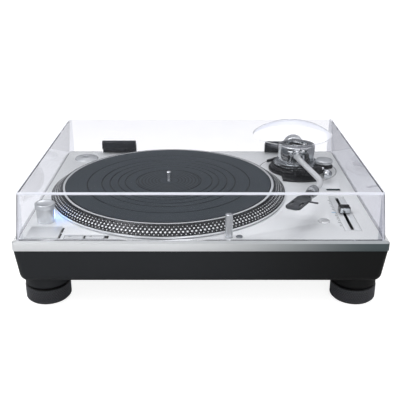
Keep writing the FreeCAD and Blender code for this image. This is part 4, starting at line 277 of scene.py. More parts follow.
@dataclass(frozen=True)
class Finish:
    """One paint, metal or plastic of the turntable."""

    name: str
    colour: str
    roughness: float
    metallic: float = 0.0
    grain: Grain = Grain.PLAIN
    axis: Axis = Axis()
    mottle: float = 0.06
    relief: float = 0.00001
    fineness: float = 900.0
    coat: float = 0.0
    wear: float = 0.04
    gloss: float = 0.5

    def make(self) -> bpy.types.Material:
        """Writes the material."""
        shade = Shade(self.name)
        pattern = self.pattern(shade)
        broad = shade.noise(shade.place, PATCHES, 2.0)
        light = tone(self.colour)
        dark = tuple(c * (1 - self.mottle * DARKENING) for c in light[:3]) + (1.0,)
        rough = (pattern - 0.5) * (2 * self.wear) + (broad - 0.5) * self.wear + self.roughness
        shade.surface(
            {
                "Base Color": shade.mix(
                    broad * PATCH_SHARE + pattern * PATTERN_SHARE, dark, light
                ),
                "Roughness": rough,
                "Metallic": self.metallic,
                "Specular IOR Level": self.gloss,
                "Coat Weight": self.coat,
                "Coat Roughness": COAT_ROUGHNESS,
                "Normal": shade.bump(pattern, self.relief),
            }
        )
        return shade.material

    def pattern(self, shade: "Shade") -> Value:
        """The fine pattern of the working, from zero to one."""
        if self.grain is Grain.TURNED:
            along, out, _ = shade.about(self.axis)
            lines = shade.combine(along * TURNED_LINES, out * TURNED_LINES, 0.0)
            return shade.noise(lines, 1.0, 2.0)
        if self.grain is Grain.BRUSHED:
            stretched = shade.vector("MULTIPLY", shade.place, BRUSHED_LINES)
            return shade.noise(stretched, 1.0, 2.0)
        if self.grain is Grain.CAST:
            settings = {"feature": "SMOOTH_F1"}
            inputs = {
                "Vector": shade.place, "Scale": self.fineness, "Smoothness": CAST_SMOOTHNESS
            }
            return shade.node("ShaderNodeTexVoronoi", settings, inputs)
        if self.grain is Grain.KNURLED:
            along, _, turn = shade.about(self.axis)
            across = (turn * (self.fineness / 2)).math("SINE").math("ABSOLUTE")
            rows = (along * KNURL_ROWS).math("SINE").math("ABSOLUTE")
            return across.math("MINIMUM", rows)
        return shade.noise(shade.place, self.fineness, 3.0)


class Shade(Tree):
    """A material while it is being written."""

    def __init__(self, name: str) -> None:
        """Starts an empty material with the object's own coordinates at hand."""
        self.material = bpy.data.materials.new(name)
        self.material.use_nodes = True
        super().__init__(self.material.node_tree)
        self.place = self.node("ShaderNodeTexCoord", output="Object")

    def axes(self) -> tuple[Value, Value, Value]:
        """The three components of the place."""
        return self.split(self.place)

    def about(self, axis: Axis) -> tuple[Value, Value, Value]:
        """Cylinder coordinates about a line.

        Args:
            axis: The line.

        Returns:
            The distance along it, the distance from it and the turn in radians.
        """
        line = Vector(axis.direction).normalized()
        side = line.orthogonal().normalized()
        other = line.cross(side)
        offset = self.vector("SUBTRACT", self.place, tuple(axis.point))
        parts = []
        for direction in (line, side, other):
            settings = {"operation": "DOT_PRODUCT"}
            inputs = {0: offset, 1: tuple(direction)}
            parts.append(self.node("ShaderNodeVectorMath", settings, inputs, "Value"))
        along, a, b = parts
        return along, (a * a + b * b).math("SQRT"), b.math("ARCTAN2", a)

    def principled(self, sockets: Mapping[str, Any]) -> Value:
        """Adds a Principled shader with values or links of its sockets."""
        return self.node("ShaderNodeBsdfPrincipled", None, sockets)

    def surface(self, sockets: Mapping[str, Any]) -> None:
        """Ends the material in one Principled shader."""
        self.end(self.principled(sockets))

    def end(self, shader: Value) -> None:
        """Links a shader to the material's output."""
        self.node("ShaderNodeOutputMaterial", None, {"Surface": shader})


# Mesh making


def put(
    name: str, mesh: bpy.types.Mesh, material: bpy.types.Material, body: str
) -> bpy.types.Object:
    """Puts a finished mesh into the scene.

    Args:
        name: The piece's name.
        mesh: Its mesh, in the row's frame, in metres.
        material: Its finish.
        body: The CAD body that it rides on.

    Returns:
        The piece.
    """
    mesh.materials.clear()
    mesh.materials.append(material)
    piece = bpy.data.objects.new(name, mesh)
    bpy.context.scene.collection.objects.link(piece)
    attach(piece, body)
    LOG.info("piece %s rides on %s", name, body)
    return piece


def solid(bm: bmesh.types.BMesh, name: str, smooth: float = 35.0) -> bpy.types.Mesh:
    """Closes a bmesh into a mesh with outward faces and soft shading under an angle.

    Args:
        bm: The bmesh, which is freed.
        name: The mesh's name.
        smooth: Edges flatter than this angle, in degrees, are shaded soft.

    Returns:
        The mesh.
    """
    bmesh.ops.remove_doubles(bm, verts=bm.verts, dist=1e-7)
    bmesh.ops.recalc_face_normals(bm, faces=bm.faces)
    limit = math.radians(smooth)
    for face in bm.faces:
        face.smooth = True
    for edge in bm.edges:
        edge.smooth = len(edge.link_faces) == 2 and edge.calc_face_angle(0.0) < limit
    mesh = bpy.data.meshes.new(name)
    bm.to_mesh(mesh)
    bm.free()
    return mesh


def lathe(
    bm: bmesh.types.BMesh, profile: Sequence[tuple[float, float]], place: Matrix, steps: int
) -> None:
    """Turns a closed outline of (radius, height) points, in millimetres, about its own Z axis.

    Args:
        bm: The bmesh that gets the faces.
        profile: The outline, closed by its first point.
        place: Where its own frame lies, in metres.
        steps: Faces round the axis.
    """
    rings = []
    for n in range(steps):
        turn = 2 * math.pi * n / steps
        ring = []
        for radius, height in profile:
            spot = Vector((radius * math.cos(turn), radius * math.sin(turn), height)) * MM
            ring.append(bm.verts.new(place @ spot))
        rings.append(ring)
    count = len(profile)
    for n in range(steps):
        near, far = rings[n], rings[(n + 1) % steps]
        for k in range(count):
            m = (k + 1) % count
            if profile[k][0] == 0 and profile[m][0] == 0:
                continue
            bm.faces.new((near[k], far[k], far[m], near[m]))


def brick(
    bm: bmesh.types.BMesh,
    low: Sequence[float],
    high: Sequence[float],
    place: Matrix,
    edge: float = 0.0,
) -> None:
    """Adds a box with bevelled edges.

    Args:
        bm: The bmesh that gets the faces.
        low: The lowest corner, in millimetres.
        high: The highest corner, in millimetres.
        place: Where the box's own frame lies, in metres.
        edge: The bevel's width, in millimetres.
    """
    made = bmesh.ops.create_cube(bm, size=1.0)
    size = [(h - l) * MM for l, h in zip(low, high)]
    middle = Vector([(h + l) / 2 * MM for l, h in zip(low, high)])
    matrix = place @ Matrix.Translation(middle) @ Matrix.Diagonal((*size, 1.0))
    bmesh.ops.transform(bm, matrix=matrix, verts=made["verts"])
    if edge:
        edges = list({e for v in made["verts"] for e in v.link_edges})
        bmesh.ops.bevel(bm, geom=edges, offset=edge * MM, segments=2, affect="EDGES", profile=0.5)


def at(x: float, y: float, z: float, bearing: float = 0.0) -> Matrix:
    """A place in millimetres with a turn about Z in degrees."""
    turn = Matrix.Rotation(math.radians(bearing), 4, "Z")
    return Matrix.Translation(Vector((x, y, z)) * MM) @ turn


def along(axis: Axis, shift: float = 0.0) -> Matrix:
    """A frame whose Z runs along an axis, moved along it by millimetres."""
    line = Vector(axis.direction).normalized()
    turn = line.to_track_quat("Z", "Y").to_matrix().to_4x4()
    return Matrix.Translation(Vector(axis.point) + line * (shift * MM)) @ turn


def upright(place: Sequence[float]) -> Axis:
    """The upright line through a plan place in millimetres."""
    return Axis((place[0] * MM, place[1] * MM, 0.0))


def baked(carrier: bpy.types.Object) -> bpy.types.Mesh:
    """A linked object's evaluated mesh, as a plain one."""
    bpy.context.view_layer.update()
    graph = bpy.context.evaluated_depsgraph_get()
    return bpy.data.meshes.new_from_object(carrier.evaluated_get(graph))


@dataclass
class Ring:
    """A ring of like pieces that a Geometry Nodes tree repeats about an upright axis.

    Lengths are in millimetres. lean tips each piece outwards and offset turns the whole
    ring, both in degrees.
    """

    name: str
    count: int
    radius: float
    level: float = 0.0
    lean: float = 0.0
    offset: float = 0.0

    def tree(self) -> tuple[bpy.types.NodeTree, dict[str, str]]:
        """Writes the tree that repeats the pieces.

        Returns:
            The tree, and the identifiers of its inputs by name.
        """
        tree = bpy.data.node_groups.new(self.name + "_repeat", "GeometryNodeTree")
        kinds = dict.fromkeys(("Radius", "Level", "Lean"), "Float")
        kinds.update({"Count": "Int", "Unit": "Object", "Finish": "Material"})
        face = tree.interface
        face.new_socket("Geometry", in_out="INPUT", socket_type="NodeSocketGeometry")
        keys = {}
        for name, kind in kinds.items():
            socket = face.new_socket(name, in_out="INPUT", socket_type="NodeSocket" + kind)
            keys[name] = socket.identifier
        face.new_socket("Geometry", in_out="OUTPUT", socket_type="NodeSocketGeometry")
        write = Tree(tree)
        group = write.node("NodeGroupInput").socket.node
        given = {name: Value(write, group.outputs[name]) for name in kinds}
        sizes = {"Vertices": given["Count"], "Radius": given["Radius"]}
        circle = write.node("GeometryNodeMeshCircle", None, sizes)
        turn = write.node("GeometryNodeInputIndex") * (2 * math.pi) / given["Count"]
        moves = {"Geometry": circle, "Offset": write.combine(0.0, 0.0, given["Level"])}
        raised = write.node("GeometryNodeSetPosition", None, moves)
        unit = write.node("GeometryNodeObjectInfo", None, {"Object": given["Unit"]}, "Geometry")
        turned = write.combine(0.0, given["Lean"], turn)
        copied = {"Points": raised, "Instance": unit, "Rotation": turned}
        copies = write.node("GeometryNodeInstanceOnPoints", None, copied)
        real = write.node("GeometryNodeRealizeInstances", None, {0: copies})
        finish = {"Geometry": real, "Material": given["Finish"]}
        dressed = write.node("GeometryNodeSetMaterial", None, finish)
        write.node("NodeGroupOutput", None, {0: dressed})
        return tree, keys

    def build(
        self, unit: bpy.types.Mesh, material: bpy.types.Material, place: Matrix
    ) -> bpy.types.Mesh:
        """Bakes the ring to a plain mesh.

        Args:
            unit: The repeated shape, with X pointing outwards, in metres.
            material: Its finish.
            place: Where the ring's own frame lies, in metres.

        Returns:
            The mesh, in the row's frame.
        """
        tree, keys = self.tree()
        source = bpy.data.objects.new(self.name + "_unit", unit)
        carrier = bpy.data.objects.new(self.name + "_carrier", bpy.data.meshes.new(self.name))
        for helper in (source, carrier):
            bpy.context.scene.collection.objects.link(helper)
        modifier = carrier.modifiers.new("repeat", "NODES")
        modifier.node_group = tree
        values = {
            "Count": self.count,
            "Radius": self.radius * MM,
            "Level": self.level * MM,
            "Lean": math.radians(self.lean),
            "Unit": source,
            "Finish": material,
        }
        for name, value in values.items():
            modifier[keys[name]] = value
        mesh = baked(carrier)
        mesh.transform(place @ Matrix.Rotation(math.radians(self.offset), 4, "Z"))
        for helper in (carrier, source):
            bpy.data.objects.remove(helper)
        return mesh


# The turntable's own places, in millimetres


@dataclass(frozen=True)
class Places:
    """Where things stand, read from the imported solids."""

    platter: tuple[float, float]
    pivot: tuple[float, float]
    tower: tuple[float, float]
    deck: float

    @staticmethod
    def middle(node: str) -> tuple[float, float]:
        """The plan centre of a CAD node's box, in millimetres."""
        low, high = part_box(node)
        return ((low.x + high.x) / 2 / MM, (low.y + high.y) / 2 / MM)

    @staticmethod
    def top(node: str) -> float:
        """The level of a CAD node's top, in millimetres."""
        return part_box(node)[1].z / MM

    @classmethod
    def read(cls) -> "Places":
        """Reads the places from the frame."""
        return cls(
            platter=cls.middle("platter"),
            pivot=cls.middle("height_ring"),
            tower=cls.middle("power_knob"),
            deck=cls.top("top_plate"),
        )


def plan(node: str) -> tuple[float, float, float, float]:
    """The sides of a CAD node's box: low X, low Y, high X and high Y, in millimetres."""
    low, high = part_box(node)
    return (low.x / MM, low.y / MM, high.x / MM, high.y / MM)


def reach(node: str, axis: Axis) -> tuple[float, float, float]:
    """Measures a CAD node about a line.

    Args:
        node: The node's name.
        axis: The line.

    Returns:
        The largest distance from the line and the ends along it, in millimetres.
    """
    line = Vector(axis.direction).normalized()
    point = Vector(axis.point)
    mesh = bpy.data.objects[node].data
    offsets = [vertex.co - point for vertex in mesh.vertices]
    ends = [offset.dot(line) for offset in offsets]
    radius = max((offset - line * end).length for offset, end in zip(offsets, ends))
    return radius / MM, min(ends) / MM, max(ends) / MM


STUD_ROOT = 0.25  # How deep a stud's foot is sunk, in millimetres.


def stud(width: float, height: float, rise: float, sharp: float = 0.3) -> bpy.types.Mesh:
    """A four-sided stud that stands out along X, for knurls and ribs, in metres.

    Args:
        width: Its width round the ring, in millimetres.
        height: Its length along the ring's axis, in millimetres.
        rise: How far it stands out, in millimetres.
        sharp: The share of its foot that is left at its top.

    Returns:
        The mesh.
    """
    bm = bmesh.new()
    foot, top = [], []
    ease = max(sharp, 1 - rise / max(height, 0.01))
    for sy, sz in ((-1, -1), (1, -1), (1, 1), (-1, 1)):
        y, z = sy * width / 2 * MM, sz * height / 2 * MM
        foot.append(bm.verts.new((-STUD_ROOT * MM, y, z)))
        top.append(bm.verts.new((rise * MM, y * sharp, z * ease)))
    bm.faces.new(top)
    bm.faces.new(foot[::-1])
    for n in range(4):
        m = (n + 1) % 4
        bm.faces.new((foot[n], foot[m], top[m], top[n]))
    return solid(bm, "stud", 10.0)


def merged(name: str, meshes: Iterable[bpy.types.Mesh]) -> bpy.types.Mesh:
    """Joins meshes into one."""
    bm = bmesh.new()
    for mesh in meshes:
        bm.from_mesh(mesh)
    joined = bpy.data.meshes.new(name)
    bm.to_mesh(joined)
    bm.free()
    return joined


def numeral(text: str, size: float, place: Matrix) -> bpy.types.Mesh:
    """A raised number.

    Args:
        text: The digits.
        size: Their height, in millimetres.
        place: Where their middle lies.

    Returns:
        The mesh.
    """
    curve = bpy.data.curves.new("digits", "FONT")
    curve.body = text
    curve.size = size * MM * 1.4  # The font's digits are 1 / 1.4 of its size high.
    curve.extrude = 0.03 * MM
    curve.align_x = "CENTER"
    curve.align_y = "CENTER"
    curve.resolution_u = 3
    carrier = bpy.data.objects.new("digits", curve)
    bpy.context.scene.collection.objects.link(carrier)
    mesh = baked(carrier)
    mesh.transform(place)
    bpy.data.objects.remove(carrier)
    return mesh


# How CAD nodes get their soft edges
SOFT_EDGE = 0.25  # The usual bevel, in millimetres.
WELD_WITHIN = 0.000002  # Metres.
BEVEL_OVER = 40  # Edges sharper than this are bevelled, in degrees.
SPLIT_OVER = 32  # Edges sharper than this are shaded sharp, in degrees.


@dataclass
class Dresser:
    """Gives CAD nodes their finish and soft edges."""

    nodes: Mapping[str, bpy.types.Object]
    done: set[str] = field(default_factory=set)

    def give(self, finish: Finish, *names: str, edge: float = SOFT_EDGE) -> None:
        """Makes a finish and dresses nodes in it."""
        self.dress(finish.make(), *names, edge=edge)

    def dress(self, material: bpy.types.Material, *names: str, edge: float = SOFT_EDGE) -> None:
        """Gives nodes a material, a small bevel and soft shading.

        Args:
            material: The finish.
            names: The nodes.
            edge: The bevel's width in millimetres. With zero there is none, and the
                normals are weighted by the faces' areas.
        """
        for name in names:
            node = self.nodes[name]
            node.data.materials.clear()
            node.data.materials.append(material)
            self.done.add(name)
            for polygon in node.data.polygons:
                polygon.use_smooth = True
            node.modifiers.new("weld", "WELD").merge_threshold = WELD_WITHIN
            if edge:
                bevel = node.modifiers.new("bevel", "BEVEL")
                bevel.width = edge * MM
                bevel.segments = 2
                bevel.limit_method = "ANGLE"
                bevel.angle_limit = math.radians(BEVEL_OVER)
            node.modifiers.new("split", "EDGE_SPLIT").split_angle = math.radians(SPLIT_OVER)
            if not edge:
                weigh = node.modifiers.new("weigh", "WEIGHTED_NORMAL")
                weigh.mode = "FACE_AREA"
                weigh.weight = 100
            LOG.info("node %s dressed in %s", name, material.name)


# Sub-assemblies


@dataclass
class Chassis:
    """The cabinet, the deck plate and what is fixed to them.

    Depths are under the deck, in millimetres. The other sizes are in metres.
    """

    dresser: Dresser
    places: Places
    rim_depth: float = 3.05
    bevel_depth: float = 0.15
    bevel_width: float = 0.0045
    # Painted shade on the front side and on the bevel darkens along X between these, in metres.
    plate_shade_fade: tuple[float, float] = (-0.06, 0.22)
    # Painted shade on the cabinet darkens along X between these, in metres.
    cabinet_shade_fade: tuple[float, float] = (-0.05, 0.23)
    # The spare slot, whose sunk floor gets painted shade.
    slot: tuple[float, float, float, float] = (0.181, -0.0095, 0.202, -0.0005)
    slot_depth: float = 0.4

    def below_deck(self, z: Value, depth: float) -> Value:
        """One further under the deck than a depth, else zero."""
        return z.below((self.places.deck - depth) * MM)

    def deck_material(self) -> bpy.types.Material:
        """Satin silver, with painted shade: its front side darker towards the right, its bevel
        darker than the top and its spare slot's floor dark.
        """
        shade = Shade("silver_deck")
        x, y, z = shade.axes()
        grain = shade.noise(shade.place, 1600.0, 2.0)
        cloud = shade.noise(shade.place, 5.0, 2.0)
        # Painted shade: the front side and the bevel get darker from left to right along this
        # ramp.
        across = x.ramp(*self.plate_shade_fade)
        edge = self.below_deck(z, self.rim_depth)
        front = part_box("top_plate")[0].y + self.bevel_width
        bevel = self.below_deck(z, self.bevel_depth) * y.below(front)
        # Painted shade: the spare slot's sunk floor is dark teal.
        x0, y0, x1, y1 = self.slot
        slot = x.between(x0, x1) * y.between(y0, y1) * self.below_deck(z, self.slot_depth)
        colour = shade.mix(grain * 0.6 + cloud * 0.4, tone("e6e8ea"), tone("f3f4f5"))
        # Painted shade: the bevel is darker than the top.
        colour = shade.mix(bevel, colour, shade.mix(across, tone("b6b8bb"), tone("a5a9ad")))
        # Painted shade: the front side runs from pale at the left to dark grey at the right.
        colour = shade.mix(edge, colour, shade.mix(across, tone("eef0f3"), tone("4d585b")))
        shade.surface(
            {
                "Base Color": shade.mix(slot, colour, tone("22363a")),
                "Roughness": grain * 0.1 + 0.36,
                "Metallic": edge * 0.1 + 0.2,
                "Normal": shade.bump(grain, 0.00001),
            }
        )
        return shade.material

    def cabinet_material(self) -> bpy.types.Material:
        """Charcoal paint with a fine grain, and painted shade that darkens it towards its right
        end.
        """
        shade = Shade("charcoal_cabinet")
        x, _, _ = shade.axes()
        grain = shade.noise(shade.place, 1400.0, 2.0)
        cloud = shade.noise(shade.place, 12.0, 2.0)
        # Painted shade: the left end is charcoal and the right end nearly black.
        left = shade.mix(cloud, tone("26282b"), tone("2a2c30"))
        right = shade.mix(cloud, tone("060708"), tone("090a0b"))
        shade.surface(
            {
                "Base Color": shade.mix(x.ramp(*self.cabinet_shade_fade), left, right),
                "Roughness": grain * 0.12 + 0.44,
                "Specular IOR Level": 0.22,
                "Normal": shade.bump(grain, 0.00002),
            }
        )
        return shade.material

    def build(self) -> None:
        """Dresses the chassis."""
        give, cast = self.dresser.give, Grain.CAST
        self.dresser.dress(self.deck_material(), "top_plate", edge=0.3)
        self.dresser.dress(self.cabinet_material(), "cabinet", edge=0.0)
        black = Finish("black_plastic", "17181a", 0.5, 0.0, cast, relief=0.00002, fineness=1100.0)
        give(black, "bottom_cover", "output_panel", "mains_inlet", "fader_body")
        steel = Finish("bright_steel", "c9cccf", 0.22, 1.0, Grain.BRUSHED)
        give(steel, "hinge_pins", "ground_terminal", "screws")
        give(Finish("plated_sockets", "d8bd7c", 0.2, 1.0), "output_jacks", "bearing_sleeve")
        metal = Finish("cast_metal", "a7abae", 0.45, 0.9, cast, relief=0.00003, fineness=700.0)
        give(metal, "motor_base")
        give(Finish("copper_coils", "b0683a", 0.35, 0.9, Grain.BRUSHED), "stator")
        board = Finish("green_board", "1d5a35", 0.45, fineness=500.0)
        give(board, "control_board", "power_board")
        give(Finish("ferrite", "26272a", 0.6), "rotor_magnet")
        hinge = Finish("hinge_plastic", "171b21", 0.45, 0.0, cast, relief=0.00002, gloss=0.25)
        give(hinge, "hinge_sockets", "hinge_arms")


@dataclass
class Feet:
    """Four turned feet with knurled sides, in millimetres."""

    dresser: Dresser
    teeth: int = 56
    levels: tuple[float, ...] = (4.9, 7.5, 10.1, 12.7, 15.3, 17.9, 20.2)
    radius: float = 28.5
    tooth: tuple[float, float, float] = (2.2, 2.0, 0.6)

    def build(self) -> None:
        """Dresses the feet."""
        rubber = Finish("foot_rubber", "141414", 0.8).make()
        for corner in ("fl", "fr", "rl", "rr"):
            x, y = Places.middle("foot_ring_" + corner)
            knurl = Finish(
                "foot_knurl_" + corner,
                "141518",
                0.42,
                grain=Grain.KNURLED,
                axis=upright((x, y)),
                relief=0.0006,
                fineness=150.0,
                mottle=0.35,
            )
            self.dresser.give(knurl, "foot_ring_" + corner, edge=0.4)
            self.dresser.dress(rubber, "foot_pad_" + corner)
            self.knurl(corner, at(x, y, 0.0))

    def knurl(self, corner: str, place: Matrix) -> None:
        """Adds the checkered band round one foot, its studs lighter as a painted highlight.

        Args:
            corner: The foot's corner.
            place: The frame of its axis.
        """
        # Painted highlight: the studs are grey where the black knurl catches the light.
        black = Finish("knurl_black_" + corner, "5a5c62", 0.34, 0.2).make()
        half_step = 180 / self.teeth
        bands = []
        for n, level in enumerate(self.levels):
            name = f"knurl_{corner}_{n}"
            ring = Ring(name, self.teeth, self.radius, level, offset=half_step * (n % 2))
            bands.append(ring.build(stud(*self.tooth), black, place))
        name = "foot_knurl_" + corner
        put(name, merged(name, bands), black, "foot_ring_" + corner)


@dataclass
class Platter:
    """The platter with its strobe dots, mat and spindle.

    The rows of dots, from the rim up the slope to the lip, are given by their way from
    the rim, their dots' radius and their count. rim and lip are a radius and a level.
    These are in millimetres, and the masks of the finishes are in metres.
    """

    dresser: Dresser
    places: Places
    rows: tuple[tuple[float, float, int], ...] = (
        (3.2, 0.8, 184),
        (6.9, 1.35, 184),
        (10.9, 1.15, 180),
        (14.6, 0.7, 176),
    )
    row_turn: float = 0.9
    rim: tuple[float, float] = (166.0, 103.3)
    lip: tuple[float, float] = (151.3, 112.9)
    lip_level: float = 0.11275
    lip_radius: float = 0.1494
    band_level: float = 0.1035
    # Painted shade darkens the mat below this level, in metres.
    groove_shade_level: float = 0.1136
    label: tuple[float, float] = (0.012, 0.046)
    label_pitch: float = 0.0048

    def axis(self) -> Axis:
        """The spindle's line."""
        return upright(self.places.platter)

    def rim_material(self) -> bpy.types.Material:
        """Black slope between a silver lip and a silver lower band."""
        shade = Shade("platter_rim")
        height, out, _ = shade.about(self.axis())
        lines = shade.noise(shade.combine(height * 3000.0, out * 3000.0, 0.0), 1.0, 2.0)
        lip = height.above(self.lip_level) * out.below(self.lip_radius)
        bright = lip.math("MAXIMUM", height.below(self.band_level))
        shade.surface(
            {
                "Base Color": shade.mix(bright, tone("1b1d20"), tone("eceef0")),
                "Roughness": lines * 0.12 + 0.2,
                "Metallic": bright * 0.45,
                "Normal": shade.bump(lines, 0.00001),
            }
        )
        return shade.material

    def mat_material(self) -> bpy.types.Material:
        """Slate rubber with fine rings in the label area, and painted shade that darkens the rings
        and the grooves.
        """
        shade = Shade("rubber_mat")
        height, out, _ = shade.about(self.axis())
        rings = (out * (2 * math.pi / self.label_pitch)).math("COSINE") * 0.5 + 0.5
        fine = rings.math("POWER", 3.0) * out.between(*self.label)
        spin = shade.noise(shade.combine(out * 900.0, height * 900.0, 0.0), 1.0, 3.0)
        grit = shade.noise(shade.place, 1500.0, 2.0)
        base = shade.mix(grit, tone("2a3036"), tone("373e44"))
        # Painted shade: the fine rings and all of the mat below the grooves' level are nearly
        # black; the rings' relief comes from the bump.
        dark = (fine * 0.9).math("MAXIMUM", height.below(self.groove_shade_level))
        relief = spin * 0.25 + grit * 0.3 - fine
        shade.surface(
            {
                "Base Color": shade.mix(dark, base, tone("0c0e10")),
                "Roughness": spin * 0.1 + 0.5,
                "Specular IOR Level": 0.3,
                "Normal": shade.bump(relief, 0.0002),
            }
        )
        return shade.material

    def dot(self, radius: float) -> bpy.types.Mesh:
        """A low round stud, in metres."""
        bm = bmesh.new()
        outline = [(0, -0.25), (radius, -0.25), (radius, 0.05), (radius * 0.55, 0.3), (0, 0.34)]
        lathe(bm, outline, Matrix.Identity(4), 8)
        return solid(bm, "strobe_dot", 60.0)

    def build(self) -> None:
        """Dresses the platter and adds its dots."""
        dress, axis = self.dresser.dress, self.axis()
        dress(self.rim_material(), "platter", edge=0.0)
        dress(self.mat_material(), "rubber_mat", edge=0.0)
        polished = Finish("polished_spindle", "d6d9db", 0.12, 1.0, Grain.TURNED, axis, relief=3e-6)
        self.dresser.give(polished, "spindle", edge=0.3)
        silver = Finish("strobe_dots", "e9ebec", 0.28, 0.5).make()
        inwards, rise = self.rim[0] - self.lip[0], self.lip[1] - self.rim[1]
        lean = math.degrees(math.atan2(rise, inwards))
        centre = at(*self.places.platter, 0.0)
        meshes = []
        for n, (station, radius, count) in enumerate(self.rows):
            share = station / math.hypot(inwards, rise)
            out, level = self.rim[0] - inwards * share, self.rim[1] + rise * share
            ring = Ring(f"strobe_row_{n}", count, out, level, lean, n * self.row_turn)
            meshes.append(ring.build(self.dot(radius), silver, centre))
        put("strobe_dots", merged("strobe_dots", meshes), silver, "platter")


@dataclass
class Cover:
    """The clear dust cover, with painted highlights and painted shade on its edges, in metres.

    Each painted edge's mask is given by how far it goes down from the flat top and in from the
    side. A draft is how far a wall leans in over its height.
    """

    dresser: Dresser
    bend: float = 1.12
    side_draft: float = 0.0055
    end_draft: float = 0.0034
    height: float = 0.0598
    # Painted highlight masks: how far down from the flat top and in from the side the front and
    # side edges are painted pale.
    front_highlight: tuple[float, float] = (0.0024, 0.0026)
    side_highlight: tuple[float, float] = (0.003, 0.0026)
    # Painted shade mask of the grey rear top edge.
    rear_shade_edge: tuple[float, float] = (0.0011, 0.0035)
    over: float = 0.0005
    # The front posts' painted highlight: how far in from the front and from the side.
    post: tuple[float, float] = (0.0018, 0.0045)
    # The side walls' painted shade: how far down from the top and in from the side.
    wall: tuple[float, float] = (0.003, 0.0045)
    # The dome's painted reflection starts this far over the flat top.
    dome_foot: float = 0.0006

    def clear(self, shade: Shade) -> Value:
        """The acrylic, which lets shadow rays and diffuse rays straight through, with painted
        shade on its side walls, darker towards the right.
        """
        low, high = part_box("dust_cover")
        x, _, z = shade.axes()
        haze = shade.noise(shade.place, 30.0, 2.0)
        down, inwards = self.wall
        aside = x.math("ABSOLUTE").above(high.x - self.side_draft - inwards)
        wall = z.below(low.z + self.height - down) * aside
        pale = shade.mix(haze, tone("f6f6f9"), tone("f9f9fb"))
        # Painted shade: the side walls grow greyer from left to right.
        side_wall_shade = shade.mix(x.ramp(-0.2, 0.2), tone("e4e5ea"), tone("c9cad1"))
        glass = shade.principled(
            {
                "Base Color": shade.mix(wall, pale, side_wall_shade),
                "Roughness": haze * 0.02,
                "IOR": self.bend,
                "Transmission Weight": 1.0,
            }
        )
        tinted = {"Color": (0.97, 0.975, 0.98, 1.0)}
        through = shade.node("ShaderNodeBsdfTransparent", None, tinted)
        passing = shade.ray("Is Shadow Ray").math("MAXIMUM", shade.ray("Is Diffuse Ray"))
        return shade.blend(passing, glass, through)

    def masks(self, shade: Shade) -> tuple[Value, Value]:
        """How far each place gets a painted highlight and how far painted grey shade."""
        low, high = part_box("dust_cover")
        x, y, z = shade.axes()
        flat = low.z + self.height
        aside = x.math("ABSOLUTE")
        down, inwards = self.front_highlight
        front = z.between(flat - down, flat + self.over)
        front = front * y.below(low.y + self.end_draft + inwards)
        down, inwards = self.side_highlight
        side = z.between(flat - down, flat + self.over)
        side = side * aside.above(high.x - self.side_draft - inwards)
        # Painted shade: the rear top edge is grey.
        down, inwards = self.rear_shade_edge
        rear = z.between(flat - down, flat + 0.0002)
        rear = rear * y.above(high.y - self.end_draft - inwards)
        lean = (z - low.z) * (self.side_draft / self.height)
        tip = (z - low.z) * (self.end_draft / self.height)
        post = y.below(tip + (low.y + self.post[0])) * (aside + lean).above(high.x - self.post[1])
        # Painted highlight: the front and side top edges and the front posts are painted pale.
        bright = front.math("MAXIMUM", post * 0.75).math("MAXIMUM", side * 0.9) * 0.65
        raised = z.above(flat + self.dome_foot)
        # Painted reflection: the dome turns pale where it is seen at a slant.
        slant = shade.node("ShaderNodeLayerWeight", None, {"Blend": 0.5}, output="Facing")
        dome = raised * slant.ramp(0.25, 0.6) * 0.5
        # Painted shade: the rear edge, and the dome's outline where it is seen edge-on, are grey.
        grey = rear.math("MAXIMUM", raised * slant.above(0.88)) * 0.5
        return bright.math("MAXIMUM", dome), grey

    def material(self) -> bpy.types.Material:
        """Clear acrylic with painted highlights on its edges that glow a little, a painted grey
        rear edge and a painted reflection on the dome at a slant.
        """
        shade = Shade("clear_acrylic")
        haze = shade.noise(shade.place, 30.0, 2.0)
        # Painted highlight: a pale shader that glows a little, laid on the edges and the dome.
        pale = shade.principled(
            {
                "Base Color": shade.mix(haze, tone("e6e9f6"), tone("f6f7ff")),
                "Roughness": 0.25,
                "Emission Color": shade.mix(haze, tone("dfe3f5"), tone("eef0fc")),
                "Emission Strength": 0.35,
            }
        )
        # Painted shade: a grey shader for the rear edge and the dome's outline.
        painted_grey_shade = shade.principled({"Base Color": shade.mix(haze, tone("8f9299"), tone("a9acb3"))})
        bright, grey = self.masks(shade)
        # Painted highlights laid over the clear acrylic.
        with_painted_highlights = shade.blend(bright, self.clear(shade), pale)
        shade.end(shade.blend(grey, with_painted_highlights, painted_grey_shade))
        return shade.material

    def build(self) -> None:
        """Dresses the cover."""
        self.dresser.dress(self.material(), "dust_cover", edge=0.0)


